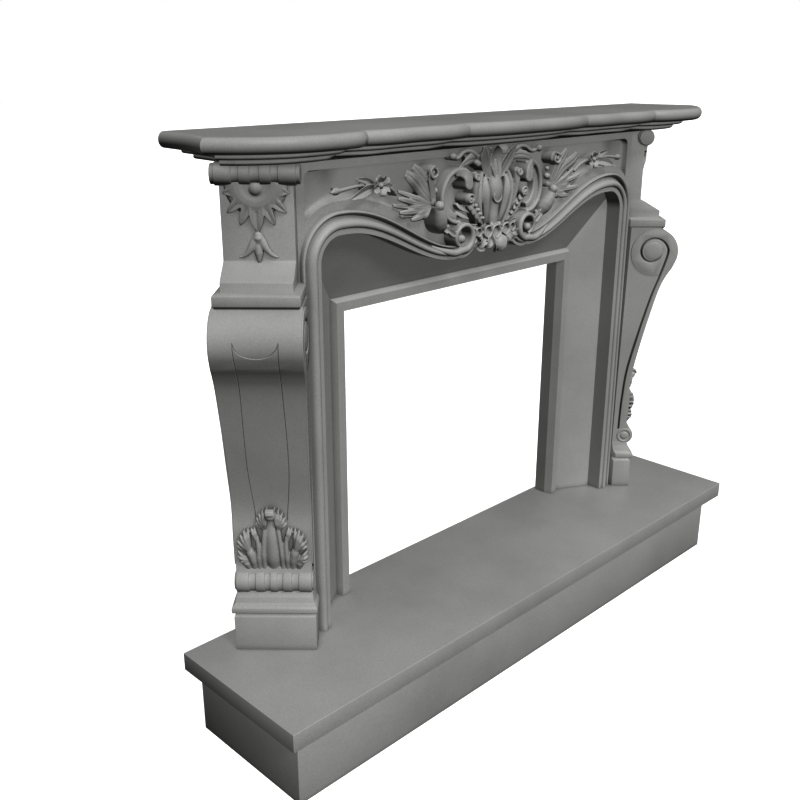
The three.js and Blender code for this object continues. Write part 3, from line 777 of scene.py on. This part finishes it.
def horn():
    """A fat horn that hangs from a knob, and the crumpled leaf beside its end."""
    body = band([(212, 1160), (207, 1148), (201, 1134), (194, 1120), (186, 1108), (178, 1098)],
                [10, 13, 17, 20, 19, 11], [48, 50, 50, 48, 42, 30], count=44)
    crumple = [
        blade([(186, 1108, 24), (172, 1100, 33), (158, 1092, 35), (144, 1082, 33), (134, 1074, 26)],
              leaf_half(9), cup=0.5, rib=1.2, thick=5, teeth=3, bite=0.4),
        ball(170, 1092, 33, 5), ball(156, 1083, 34, 4.5), ball(163, 1106, 30, 5)]
    return [body, ball(209, 1159, 53, 11.5), *crumple]


def tendril():
    """A stem that springs from the shell and ends in a bead, with a broad leaf under it."""
    stem = band([(54, 1242), (64, 1256), (78, 1265), (94, 1270), (112, 1268), (126, 1260), (138, 1256),
                 (150, 1259)],
                [6, 6, 6, 6, 5.5, 5, 4.5, 4.5], [20, 26, 28, 28, 28, 29, 31, 32], count=60)
    curl = ball(156, 1262, 40, 9)
    broad = blade([(64, 1246, 20), (82, 1251, 28), (100, 1250, 33), (118, 1244, 34), (134, 1236, 32)],
                  leaf_half(11, 0.7, 0.25), cup=-0.2, rib=1.8, thick=5)
    bud = band([(50, 1232), (60, 1240), (70, 1244)], [7, 9, 5], [26, 31, 22], count=20)
    return [stem, curl, broad, bud]


def feather(tip, via, width, rise):
    """One lobe of the fan, from the knob of the horn out to its free, rounded tip."""
    root = np.array([214.0, 1160.0])
    tip = np.array(tip, float)
    via = np.array(via, float)
    spine = [(*root, 26.0), (*(root + (via - root) * 0.5), 31.0), (*via, 33.0),
             (*(via + (tip - via) * 0.6), rise), (*tip, rise - 3)]
    shape = [0.3, 0.44, 0.62, 0.82, 0.96, 1.04, 1.06, 1.0, 0.88, 0.55]
    crown = -0.55 if width < 8 else -0.3
    return blade(spine, [width * k for k in shape], cup=crown, rib=1.8, thick=6, free=(0.3, 0.6), count=44)


FEATHERS = [((262, 1131), (240, 1138), 5.2, 24), ((288, 1135), (252, 1139), 6.4, 36),
            ((310, 1143), (264, 1145), 6.0, 25), ((326, 1155), (272, 1152), 7.0, 39),
            ((334, 1170), (281, 1162), 6.4, 27), ((331, 1186), (280, 1172), 7.0, 40),
            ((320, 1199), (274, 1182), 6.2, 28), ((311, 1238), (262, 1204), 14.5, 42),
            ((279, 1250), (244, 1216), 14.0, 33), ((258, 1236), (236, 1208), 7.0, 27)]


def leaf_fan():
    """The lobes of the fan, the leaf that climbs to its curl, and the small balls beside it."""
    bodies = [feather(*lobe) for lobe in FEATHERS]
    bodies.append(blade([(214, 1162, 28), (220, 1186, 31), (228, 1208, 35), (234, 1226, 38), (232, 1240, 40)],
                        [7, 8, 9, 9, 6], cup=0.3, rib=-1.4, thick=6, free=(0.5, 0.8)))
    bodies += curled_tip(224, 1234, 44, 16.5, 100)
    bodies += [ball(205, 1190, 30, 8), ball(208, 1208, 26, 6)]
    bodies.append(turned(215, 1168, [(11, -SINK), (11, 24), (8, 30), (1, 31)], 24))
    return bodies


PETAL_RISE = ((2, 34), (9, 38), (17, 42), (23, 43), (26, 40))


def sprig():
    """A stem with one flower of five petals, three leaves and a long bud."""
    a, b = 385, 1219
    stem = band([(322, 1192), (336, 1204), (352, 1212), (376, 1217)], 4.2, [24, 27, 28, 28], count=30)
    flower = [turned(a, b, [(6, -SINK), (6, 30), (1, 32)], 20)]
    for i in range(5):
        angle = math.radians(54 + 72 * i)
        out = np.array([math.cos(angle), math.sin(angle) * 0.86])
        spine = [(a + out[0] * reach, b + out[1] * reach, height) for reach, height in PETAL_RISE]
        flower.append(blade(spine, petal_half(10), cup=0.45, rib=1.0, thick=4.6, free=(0.15, 0.4),
                            count=26, across=11))
    leaves = [
        blade([(396, 1219, 30), (420, 1222, 34), (450, 1222, 35), (480, 1219, 35), (498, 1217, 35)],
              [3.4, 3.6, 3.6, 3.8, 4], cup=-0.5, thick=6, free=(0.1, 0.3)),
        blade([(490, 1218, 34), (500, 1217, 36), (512, 1216, 36), (520, 1215, 33)], [3, 8, 7, 1.5],
              cup=-0.6, thick=9, free=(0.0, 0.1), count=26),
        blade([(398, 1214, 30), (420, 1213, 36), (444, 1208, 41), (462, 1202, 42), (474, 1198, 38)],
              leaf_half(11, 0.7), cup=0.35, rib=1.6, thick=4.6, free=(0.15, 0.4)),
        blade([(400, 1222, 30), (418, 1230, 34), (438, 1235, 36), (454, 1237, 35)],
              leaf_half(7.5, 0.7), cup=0.35, rib=1.4, thick=4.4, free=(0.15, 0.4)),
        blade([(398, 1210, 28), (414, 1204, 32), (432, 1199, 34), (446, 1194, 32)],
              leaf_half(6, 0.7), cup=0.35, rib=1.2, thick=4.4, free=(0.15, 0.4))]
    return [stem, ball(a, b, 44, 6), *flower, *leaves]


print(len(FEATHERS), "lobes in a fan")

# %% [markdown]
# Now the frieze is carved. Each group of forms is melted on its own, with voxels as fine as its
# thinnest leaf needs. One melt of the whole frieze would be simpler to write, but the groups hardly
# touch, and small pieces are quick to work on again.

# %% Carve the frieze

half = volute() + strap() + small_volute() + notched_leaf() + horn() + tendril()
cartouche = [on_frieze(body) for body in half + shell() + tongue() + garland()]
cartouche += [mirrored(on_frieze(body)) for body in half]
stand_for(carved("cartouche", cartouche, 1.5, 190000), "surround")
for name, turn in (("right", lambda body: body), ("left", mirrored)):
    fan = [turn(on_frieze(body)) for body in leaf_fan()]
    spray = [turn(on_frieze(body)) for body in sprig()]
    stand_for(carved(f"{name}_leaf_fan", fan, 1.3, 60000), "surround")
    stand_for(carved(f"{name}_flower_sprig", spray, 1.2, 40000), "surround")

# %% [markdown]
# Each jamb stands at 45 degrees to the room. It is drawn face on, as across, forward and height, and
# then turned. From the floor up it is a moulded plinth, a rolled foot, a console that swells to a
# great volute, a cap, and a tall neck under a banded roll.

# %% Canted jambs: placing

JAMB_MIDDLE = -532.0
JAMB_INNER = 592.3
JAMB_BACK = 100.0
NECK_FACE = 418.4


def canted(body, side):
    """Turns a body drawn as across, forward and height to its place beside the surround."""
    points, body_faces = body
    along = JAMB_MIDDLE + points[:, 0]
    x = (along - points[:, 1]) / math.sqrt(2)
    y = (-along - points[:, 1]) / math.sqrt(2)
    return np.column_stack([side * -x, y, points[:, 2]]), body_faces


def trimmed(made, side):
    """Cuts a jamb's stone off at the wall and at the edge of the surround."""
    inner, outer = side * JAMB_INNER, side * 1000
    keep = [(inner, -600), (outer, -600), (outer, WALL), (inner, WALL)]
    return cut(made, piece("trim", [slab(keep, 0, STONE_TOP)]), keep_common=True)


def courses(list_of_courses):
    """Plain courses drawn as height, half-width and forward face."""
    return skin([np.array([(-half, JAMB_BACK, z), (-half, front, z), (half, front, z), (half, JAMB_BACK, z)])
                 for z, half, front in list_of_courses])


PLINTH = [(HEARTH_TOP + 0.3, 91, 447.5), (297, 91, 447.5), (300, 90.4, 446.6), (303, 88.6, 444.4),
          (305.4, 86.6, 442), (307, 86, 441), (311, 86, 441), (311.4, 94, 452), (313, 95, 453),
          (322, 95, 453), (324, 94.4, 452.4), (327, 92.6, 449.6), (329, 90.6, 445), (331, 88.8, 441.4),
          (343, 86, 440), (346, 85, 438.6), (350, 84, 436), (360, 84, 434)]
NECK = [(1012, 82, 486), (1015, 84.5, 488), (1017.4, 86, 490.4), (1020, 86.6, 491), (1036, 86.6, 491),
        (1038.4, 86, 490), (1041, 80.6, 484.6), (1043, 71.5, 475), (1060, 71.5, 475), (1062, 71.6, 474),
        (1066, 72, 467), (1070, 72, 459.6), (1074, 72, 452), (1078, 72, 445), (1082, 72, 438),
        (1086, 72, 431), (1089.6, 72, 424.6), (1093, 72, 418.9), (1097, 72, NECK_FACE),
        (STONE_TOP, 72, NECK_FACE)]
print("plinth of", len(PLINTH), "courses, neck of", len(NECK))

# %% [markdown]
# The console is a long S seen from its side. It could be a curve that is bevelled, but its cheeks
# are flat and its front is wide, so it is an outline of arcs and one smooth line, pushed across the
# jamb and a little wider at the top.

# %% Console outline

FOOT_SCROLL = (424.0, 380.5, 23.5)
HEAD_SCROLL = (466.0, 945.0, 67.5)
SHAFT = [(429, 424), (431, 460), (432, 500), (429.5, 545), (435.5, 597), (455, 697), (478, 798), (492, 848),
         (506, 878), (520, 900)]


def console_outline():
    """The side of the console as forward and height, from the back round the foot and the head."""
    foot = [(FOOT_SCROLL[0] + FOOT_SCROLL[2] * math.cos(a), FOOT_SCROLL[1] + FOOT_SCROLL[2] * math.sin(a))
            for a in np.radians(np.linspace(-90, 60, 15))]
    shaft = [tuple(p) for p in smooth_line(SHAFT, 60)]
    head = [(HEAD_SCROLL[0] + HEAD_SCROLL[2] * math.cos(a), HEAD_SCROLL[1] + HEAD_SCROLL[2] * math.sin(a))
            for a in np.radians(np.linspace(-22, 70, 26))]
    return [(JAMB_BACK, 357), *foot, *shaft, *head, (480, 1016), (JAMB_BACK, 1016)]


def half_width(z):
    """Half the console's width at a height."""
    t = min(max((z - 600) / 300, 0), 1)
    return 83.5 + 6 * t * t * (3 - 2 * t)


def console_body():
    outline = console_outline()
    return skin([np.array([(end * half_width(z), forward, z) for forward, z in outline])
                 for end in (-1, 1)])


FRONT_LINE = np.array(sorted(console_outline()[15:-2], key=lambda point: point[1]))


def front_at(z):
    """How far forward the console's front stands at a height."""
    return np.interp(z, FRONT_LINE[:, 1], FRONT_LINE[:, 0])


print("console outline of", len(console_outline()), "points")

# %% [markdown]
# The border of each cheek stands proud of it, and lines are cut into the stone: a spiral on the
# border, and two lines and an apron on the front. A texture could draw such lines, but in raking
# light they would look printed. So a thin V-shaped tool is pushed along each path and cut away, as a
# mason does it.

# %% Borders and grooves

PLATE_PROUD = 2.8
CHEEK_LINE = [(404, 402), (405, 450), (407, 500), (415, 590), (438, 700), (465, 810), (484, 870)]


def groove(path, outward, depth, half, proud=3.0):
    """A V-shaped cutting tool that follows a path, with its open side facing outward."""
    path = np.array(path, float)
    outward = np.array(outward, float)
    along = np.gradient(path, axis=0)
    along /= np.linalg.norm(along, axis=1)[:, None]
    side = np.cross(along, outward)
    side /= np.linalg.norm(side, axis=1)[:, None]
    spread = half * (1 + proud / depth)
    rings = []
    for p, s, o in zip(path, side, outward):
        rings.append(np.array([p - s * spread + o * proud, p - o * depth, p + s * spread + o * proud]))
    return skin(rings)


def scroll_plates():
    """The border of each cheek: a disc at the great volute and a strip down the front."""
    forward, height, radius = HEAD_SCROLL
    disc = [(forward + (radius - 1) * math.cos(a), height + (radius - 1) * math.sin(a))
            for a in np.radians(np.linspace(-71, -380, 70))]
    front = [(f - 1.2, z) for f, z in smooth_line(SHAFT, 40)[::-1] if z < 905]
    outline = [tuple(p) for p in smooth_line(CHEEK_LINE, 40)] + disc + front
    plates = []
    for end in (-1, 1):
        plates.append(skin([np.array([(end * (half_width(z) + out), f, z) for f, z in outline])
                            for out in (-2.0, PLATE_PROUD)]))
    return plates


def cheek_grooves():
    """A line up each cheek that winds into a spiral on the great volute."""
    turn = [44 - 24 * t for t in np.linspace(0, 1, 15)]
    line = smooth_line(CHEEK_LINE + [(497, 912)] + around((461, 946), turn, 2, 400), 150)
    tools = []
    for end in (-1, 1):
        path = [(end * half_width(z), forward, z) for forward, z in line]
        tools.append(groove(path, [(end, 0, 0)] * len(path), depth=4.4, half=2.2, proud=6.0))
    return tools


def outward_of_front(path):
    """The direction square to the console's front at each point of a path."""
    slopes = (front_at(path[:, 2] + 4) - front_at(path[:, 2] - 4)) / 8
    normal = np.column_stack([np.zeros(len(path)), np.ones(len(path)), -slopes])
    return normal / np.linalg.norm(normal, axis=1)[:, None]


def front_grooves():
    """Two lines down the front, and the apron that joins them under the great volute."""
    line = smooth_line([(34, 530), (35, 550), (40, 600), (43.5, 650), (44.2, 700), (44, 750), (43, 800),
                        (42.5, 850), (42.8, 900), (44.5, 957)], 90)
    apron = smooth_line([(-44.5, 957), (-40, 944), (-28, 932), (-12, 926), (0, 925), (12, 926),
                         (28, 932), (40, 944), (44.5, 957)], 60)
    tools = []
    for drawn in (line * [-1, 1], line, apron):
        path = np.array([(across, front_at(z), z) for across, z in drawn])
        tools.append(groove(path, outward_of_front(path), depth=1.6, half=1.2))
    return tools


print("grooves to cut on each jamb:", len(cheek_grooves() + front_grooves()))

# %% [markdown]
# Two rolls with raised bands lie across each jamb, one at the console's foot and one at the top of
# the neck. Round eyes are set on the cheeks. All of them are turned forms, so they could be stacked
# from cylinders, but one profile turned round an axis keeps their steps clean and closed.

# %% Rolls and eyes

HEAD_ROLL = (419.0, 1262.6)
FOOT_BANDS = [(-69, 14), (-30, 10), (0, 8), (30, 10), (69, 14)]
HEAD_BANDS = [(-62, 17), (-20, 11), (20, 11), (62, 17)]


def roll(centre, z, radius, half, bands):
    """A roll laid across the jamb with raised bands. Each band has a middle and a half-width."""
    low = radius - 2.6
    step = [(0, low), (0.3, radius - 0.8), (1.2, radius)]
    stops = [(-half, low - 1), (-half + 1, low)]
    for middle, reach in bands:
        stops += [(middle - reach + inward, size) for inward, size in step]
        stops += [(middle + reach - inward, size) for inward, size in step[::-1]]
    stops += [(half - 1, low), (half, low - 1)]
    angles = np.linspace(0, 2 * math.pi, 56, endpoint=False)
    return skin([np.column_stack([np.full(len(angles), across), centre + size * np.cos(angles),
                                  z + size * np.sin(angles)]) for across, size in stops])


def lathe_on_cheek(end, middle, base, profile):
    """A form turned on a lathe and set on a cheek: pairs of radius and how far it stands out."""
    angles = np.linspace(0, 2 * math.pi, 40, endpoint=False)
    return skin([np.column_stack([np.full(len(angles), end * (base + out)),
                                  middle[0] + radius * np.cos(angles),
                                  middle[1] + radius * np.sin(angles)]) for radius, out in profile])


def turned_eye(end):
    """The raised eye of the great volute."""
    return lathe_on_cheek(end, (462, 950), half_width(950),
                          [(28, -3), (28, 0.6), (26.4, 2.6), (21, 4.0), (10, 4.8), (1, 5.0)])


def foot_eye(end):
    """The small scroll on the end of the foot roll."""
    return lathe_on_cheek(end, FOOT_SCROLL[:2], 84,
                          [(22, -3), (22, 1.4), (20.4, 2.4), (17.4, 2.4), (15.6, 0.4), (11.6, 0.4),
                           (9.6, 2.6), (5, 3.4), (1, 3.6)])


print("bands on the foot roll and the top roll:", len(FOOT_BANDS), len(HEAD_BANDS))

# %% [markdown]
# Three carvings dress each jamb: an acanthus leaf that climbs from the foot, a rosette that hangs
# under the banded roll, and a bellflower below it. They could be modelled in place, but they use the
# same forms as the frieze, drawn flat and then laid on the face of the jamb, which bends for the
# foot leaf and is flat for the other two.

# %% Jamb carvings


def on_jamb(body, face):
    """Lays a carving on the jamb's face. The face is a number or a function of height."""
    points, body_faces = body
    front = face(points[:, 1]) if callable(face) else face
    return np.column_stack([points[:, 0], front + points[:, 2], points[:, 1]]), body_faces


LOBE_RISE = ((0.4, 13), (0.62, 12.5), (0.8, 11), (0.93, 8.6), (1.0, 6))


def rosette():
    """A low dome, flattened towards the roll, with a ball in it and seven lobes under it."""
    middle = 1243
    dome = [(62, -SINK), (62, 5), (58, 9), (50, 12.6), (41, 14.6), (32, 14.6), (24, 12.6), (1, 12)]
    swell = turned(0, middle, dome, 64)
    upper = swell[0][:, 1] > middle
    swell[0][upper, 1] = middle + (swell[0][upper, 1] - middle) * 0.3
    bodies = [ball(0, 1235, 19, 15.5, 0.9), swell]
    heart = np.array([0.0, 1240.0])
    for tip, width in (((0, 1151), 14), ((34, 1164), 9), ((58, 1188), 9.5), ((65, 1226), 9)):
        tip = np.array(tip, float)
        spine = [(*(heart + (tip - heart) * share), height) for share, height in LOBE_RISE]
        lobe = blade(spine, [width * k for k in (0.9, 1, 1, 0.95, 0.8, 0.55, 0.1)], cup=0.12, rib=2.0,
                     thick=6, free=(2, 3), count=30)
        bodies.append(lobe)
        if tip[0]:
            bodies.append(mirrored(lobe))
    return bodies


def bellflower():
    """A calyx, two petals that spread and a bud between them."""
    bodies = [band([(0, 1150), (0, 1140), (0, 1128)], [8, 11, 9], [10, 14, 9], count=24)]
    side = blade([(3, 1142, 10), (12, 1124, 11), (22, 1110, 9), (32, 1103, 6), (39, 1102, 4)],
                 [7, 8, 6, 4, 1.5], cup=-0.4, thick=6, free=(2, 3), count=30)
    bud = band([(0, 1132), (0, 1118), (0, 1104), (0, 1092), (0, 1087)], [6, 9, 9, 6, 1.5],
               [9, 11, 11, 8, 4], count=30)
    return bodies + [side, mirrored(side), bud]


def acanthus_lobe(tips, root, width):
    """A lobe of the foot leaf: a stem that divides into short pointed fingers."""
    bodies = []
    for tip, rise in tips:
        tip = np.array(tip, float)
        middle = (np.array(root[0]) * 0.35 + tip * 0.65)
        path = [root[0], tuple(middle), tuple(middle + (tip - middle) * 0.6), tuple(tip)]
        bodies.append(band(path, [width * 0.8, width, width * 0.86, width * 0.4],
                           [root[1], rise - 2, rise, rise - 5], count=26))
    return bodies


FOOT_RIBS = [([(20, 410), (20, 450), (17, 490), (14, 518)], 5.4, [3, 14, 15, 15], 36),
             ([(31, 410), (31, 440), (30, 470), (33, 496)], [6, 6.4, 6, 5], [3, 13, 15, 14], 36),
             ([(42, 410), (43, 430), (47, 450), (55, 476)], [7, 9, 10.5, 8], [3, 13, 17, 13], 36),
             ([(54, 410), (58, 425), (65, 440)], [6, 8, 6], [3, 12, 12], 24)]
FOOT_LOBES = [([((8, 563), 25), ((17, 560), 24), ((25, 553), 22), ((31, 542), 20), ((34, 529), 17)],
               ((14, 512), 13), 4.4),
              ([((37, 517), 15), ((44, 515), 16)], ((31, 480), 13), 4.6),
              ([((51, 514), 16), ((60, 511), 20), ((68, 501), 20), ((75, 487), 19), ((77, 473), 16)],
               ((50, 462), 15), 5.4),
              ([((76, 461), 15), ((77, 448), 17), ((74, 435), 16), ((67, 425), 13)],
               ((56, 436), 11), 5.0)]


def foot_leaf():
    """A middle blade whose tip rolls forward, and on each side ribs, a ball and lobes."""
    middle = blade([(0, 410, 3), (0, 440, 14), (0, 485, 16), (0, 522, 13), (0, 544, 15), (0, 556, 20),
                    (0, 562, 27), (0, 554, 31)],
                   [13, 15, 14, 13, 13, 13, 12, 8], cup=-0.4, thick=7, free=(0.62, 0.76))
    right = [band(*rib) for rib in FOOT_RIBS] + [ball(0, 551, 33, 11.5, 0.8)]
    for lobe in FOOT_LOBES:
        right += acanthus_lobe(*lobe)
    return [middle] + right + [mirrored(body) for body in right]


def jamb_face(z):
    """The console's front just under its surface, so that a carving grows out of it."""
    return front_at(np.maximum(z, SHAFT[0][1])) - 0.5


print("rosette, bellflower and foot leaf drawn")

# %% [markdown]
# Both jambs are built the same way, each on its own side. A mason leaves a stone too deep and trims it
# where it meets the wall and its neighbour, and so do we: a block cuts off what is too much. Each
# jamb could be one joined mesh, but separate stones keep their joints, and a joint is what the eye
# looks for in masonry.

# %% Cut and carve both jambs


def build_jamb(name, side):
    """All the pieces of one jamb. Side is 1 for the right jamb and -1 for the left one."""
    node = f"{name}_jamb"

    def whole(label, bodies, ease):
        made = trimmed(piece(f"{name}_{label}", [canted(body, side) for body in bodies]), side)
        return stand_for(eased(made, ease), node)

    whole("plinth", [courses(PLINTH)], 0.6)
    console = piece(f"{name}_console", [canted(console_body(), side)])
    trimmed(console, side)
    for tool in cheek_grooves() + front_grooves():
        cut(console, piece("groove", [canted(tool, side)]))
    console.data.shade_smooth()
    console.data.set_sharp_from_angle(angle=math.radians(25))
    stand_for(console, node)
    border = trimmed(piece(f"{name}_scroll_border", [canted(body, side) for body in scroll_plates()]), side)
    for tool in cheek_grooves():
        cut(border, piece("groove", [canted(tool, side)]))
    stand_for(eased(border, 0.6), node)
    whole("neck", [courses(NECK)], 0.5)
    whole("foot_roll", [roll(*FOOT_SCROLL[:2], 26.5, 84, FOOT_BANDS)], 0.3)
    whole("banded_roll", [roll(*HEAD_ROLL, 22.5, 86.5, HEAD_BANDS)], 0.3)
    eyes = [turned_eye(end) for end in (-1, 1)] + [foot_eye(end) for end in (-1, 1)]
    whole("volute_eyes", eyes, 0.5)
    leaf = [canted(on_jamb(body, jamb_face), side) for body in foot_leaf()]
    stand_for(carved(f"{name}_foot_leaf", leaf, 1.4, 60000), node)
    drop = [canted(on_jamb(body, NECK_FACE), side) for body in rosette() + bellflower()]
    stand_for(carved(f"{name}_rosette", drop, 1.4, 40000), node)


build_jamb("right", 1)
build_jamb("left", -1)

# %% [markdown]
# Behind the arch, slanted slips of stone lead the eye in to a bevelled frame round the fire. They
# are plain flat stones, so their solids stay as they are and only need a finish. The stone is a dry
# grey limestone, rubbed smooth. Pictures of stone could be wrapped round it, but they stretch on a
# carved leaf. Noise that is worked out in space has no seams: wide soft clouds, a fine speckle and
# small pits. Hollows are darkened with painted shade. On the close-meshed carvings the edges are
# paler, as rubbing by use leaves them, and the creases get more painted shade.

# %% Finish of the stone


def stone_finish(name, tint, edge_wear_and_crease_shade):
    """Dry grey limestone, honed: faint clouding, fine grain, small pits, painted shade in the hollows
    and, on close-meshed carving, paler rubbed edges with painted shade in the creases."""
    finish = bpy.data.materials.new(name)
    finish.use_nodes = True
    nodes, links = finish.node_tree.nodes, finish.node_tree.links
    shader = nodes["Principled BSDF"]
    shader.inputs["Roughness"].default_value = 0.5
    shader.inputs["Specular IOR Level"].default_value = 0.5
    place = nodes.new("ShaderNodeTexCoord")

    def noise(scale, detail, roughness=0.55):
        made = nodes.new("ShaderNodeTexNoise")
        made.inputs["Scale"].default_value = scale
        made.inputs["Detail"].default_value = detail
        made.inputs["Roughness"].default_value = roughness
        links.new(place.outputs["Object"], made.inputs["Vector"])
        return made

    def ramp(source, stops):
        made = nodes.new("ShaderNodeValToRGB")
        line = made.color_ramp
        while len(line.elements) < len(stops):
            line.elements.new(0.5)
        for element, (at, value) in zip(line.elements, stops):
            element.position = at
            element.color = (*value, 1)
        links.new(source, made.inputs["Fac"])
        return made

    def mixed(kind, share, first, second):
        made = nodes.new("ShaderNodeMix")
        made.data_type = "RGBA"
        made.blend_type = kind
        if isinstance(share, float):
            made.inputs["Factor"].default_value = share
        else:
            links.new(share, made.inputs["Factor"])
        links.new(first, made.inputs["A"])
        links.new(second, made.inputs["B"])
        return made.outputs["Result"]

    tints = [tuple(c * k for c in tint) for k in (0.9, 1.0, 1.08)]
    clouds = ramp(noise(3.2, 5).outputs["Fac"], [(0.3, tints[0]), (0.5, tints[1]), (0.72, tints[2])])
    speckle = ramp(noise(420, 3, 0.7).outputs["Fac"],
                   [(0.35, (0.86,) * 3), (0.5, (1.0,) * 3), (0.68, (1.1,) * 3)])
    colour = mixed("MULTIPLY", 0.7, clouds.outputs["Color"], speckle.outputs["Color"])
    # Pointiness makes convex edges paler, as rubbing by use does, and darkens concave creases with painted
    # shade.
    if edge_wear_and_crease_shade:
        edge = nodes.new("ShaderNodeNewGeometry")
        worn_edge_and_crease_shade = ramp(edge.outputs["Pointiness"],
                    [(0.44, (0.66,) * 3), (0.5, (1.0,) * 3), (0.57, (1.22,) * 3)])
        colour = mixed("MULTIPLY", 0.6, colour, worn_edge_and_crease_shade.outputs["Color"])
    # Painted shade: ambient occlusion darkens every hollow of the stone, down to 0.42 of its colour.
    hollow = nodes.new("ShaderNodeAmbientOcclusion")
    hollow.samples = 8
    hollow.inputs["Distance"].default_value = 0.025
    painted_hollow_shade = ramp(hollow.outputs["AO"], [(0.15, (0.42,) * 3), (0.75, (1.0,) * 3)])
    colour = mixed("MULTIPLY", 0.8, colour, painted_hollow_shade.outputs["Color"])
    links.new(colour, shader.inputs["Base Color"])
    pits = nodes.new("ShaderNodeTexVoronoi")
    pits.inputs["Scale"].default_value = 260
    links.new(place.outputs["Object"], pits.inputs["Vector"])
    pitted = ramp(pits.outputs["Distance"], [(0.0, (0.0,) * 3), (0.16, (1.0,) * 3)])
    grain = nodes.new("ShaderNodeBump")
    grain.inputs["Strength"].default_value = 0.1
    grain.inputs["Distance"].default_value = 0.0006
    links.new(noise(700, 4, 0.7).outputs["Fac"], grain.inputs["Height"])
    small = nodes.new("ShaderNodeBump")
    small.inputs["Strength"].default_value = 0.1
    small.inputs["Distance"].default_value = 0.0005
    links.new(pitted.outputs["Color"], small.inputs["Height"])
    links.new(grain.outputs["Normal"], small.inputs["Normal"])
    links.new(small.outputs["Normal"], shader.inputs["Normal"])
    return finish


STONE_GREY = (0.2, 0.2, 0.197)
HONED = stone_finish("honed_grey_limestone", STONE_GREY, edge_wear_and_crease_shade=False)
CARVED = stone_finish("carved_grey_limestone", STONE_GREY, edge_wear_and_crease_shade=True)
# Every stone and slip gets painted shade in its hollows. The close-meshed carvings also get paler edges and
# painted shade in their creases.
CLOSE_MESHED = ("cartouche", "fan", "sprig", "leaf", "rosette")
for made in STONES:
    made.data.materials.clear()
    made.data.materials.append(CARVED if made.name.endswith(CLOSE_MESHED) else HONED)
for node in ("left_slip", "right_slip", "head_slip", "firebox_frame"):
    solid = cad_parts[node]
    solid.data.materials.clear()
    solid.data.materials.append(HONED)
print("finish given to", len(STONES), "stones")

# %% [markdown]
# A plain floor and soft studio light come last. One soft light could shine from the camera, but it
# would flatten the carving. Here the strongest light rakes down over the relief from the left and
# the front. It leaves no shadow, because hard shadows would hide the small leaves. A softer light
# from the front does leave shadows, and two more reach the back and the right side, so that the
# stone can be judged from all round. Only the soft front light gleams on the stone, and the floor
# throws no light back up, because both would wash out the undersides of the leaves.

# %% Floor, light and camera

FLOOR_GREY = 0.72
FLOOR_REACH = 30
ROOM_LIGHT = 0.06
VIEW_GAMMA = 0.65
CAMERA_PLACE = (-1.7999, -1.4604, 1.4760)
CAMERA_AIM = (0.6607, 0.6711, -0.3361)
FIELD_OF_VIEW = math.radians(45)


def floor():
    """A wide floor that the camera sees, but that throws no light on the stone."""
    mesh = bpy.data.meshes.new("floor")
    corners = [(x * FLOOR_REACH, y * FLOOR_REACH, 0) for x, y in ((-1, -1), (1, -1), (1, 1), (-1, 1))]
    mesh.from_pydata(corners, [], [(0, 1, 2, 3)])
    made = bpy.data.objects.new("floor", mesh)
    bpy.context.collection.objects.link(made)
    pale = bpy.data.materials.new("pale_floor")
    pale.use_nodes = True
    shader = pale.node_tree.nodes["Principled BSDF"]
    shader.inputs["Base Color"].default_value = (FLOOR_GREY, FLOOR_GREY, FLOOR_GREY, 1)
    shader.inputs["Roughness"].default_value = 0.9
    mesh.materials.append(pale)
    made.visible_diffuse = False
    made.visible_glossy = False


def broad_light(name, toward, strength, spread, leaves_shadow=True, gleams=False):
    """A far, broad light. Toward is the way it shines and spread the softness of its shadows. It
    may leave no shadow, and it shows on glossy surfaces only if it gleams."""
    lamp = bpy.data.lights.new(name, "SUN")
    lamp.energy = strength
    lamp.angle = math.radians(spread)
    lamp.use_shadow = leaves_shadow
    made = bpy.data.objects.new(name, lamp)
    made.rotation_euler = Vector(toward).to_track_quat("-Z", "Y").to_euler()
    made.visible_glossy = gleams
    bpy.context.collection.objects.link(made)


def camera():
    """A camera where the picture of the real fireplace was taken from."""
    lens = bpy.data.cameras.new("camera")
    lens.sensor_width = 36
    lens.sensor_fit = "HORIZONTAL"
    lens.angle = FIELD_OF_VIEW
    made = bpy.data.objects.new("camera", lens)
    made.location = CAMERA_PLACE
    made.rotation_euler = Vector(CAMERA_AIM).to_track_quat("-Z", "Y").to_euler()
    bpy.context.collection.objects.link(made)
    bpy.context.scene.camera = made


def studio():
    """A white room: dim as a source of light, white where the camera looks past the floor."""
    room = bpy.data.worlds.new("studio")
    room.use_nodes = True
    nodes, links = room.node_tree.nodes, room.node_tree.links
    seen = nodes.new("ShaderNodeLightPath")
    level = nodes.new("ShaderNodeMapRange")
    level.inputs["To Min"].default_value = ROOM_LIGHT
    level.inputs["To Max"].default_value = 1.0
    links.new(seen.outputs["Is Camera Ray"], level.inputs["Value"])
    nodes["Background"].inputs["Color"].default_value = (1, 1, 1, 1)
    links.new(level.outputs["Result"], nodes["Background"].inputs["Strength"])
    bpy.context.scene.world = room


floor()
camera()
studio()
broad_light("key_light", (0.12, 0.74, -0.66), 1.5, 14, gleams=True)
broad_light("back_light", (0.0, -1.0, 0.0), 4.4, 6)
broad_light("right_light", (-1.0, 0.0, 0.0), 3.2, 6)
broad_light("relief_light", (0.44, 1.0, -1.07), 7.2, 4, leaves_shadow=False)
bpy.context.scene.view_settings.view_transform = "Standard"
bpy.context.scene.view_settings.gamma = VIEW_GAMMA
print("camera at", CAMERA_PLACE)
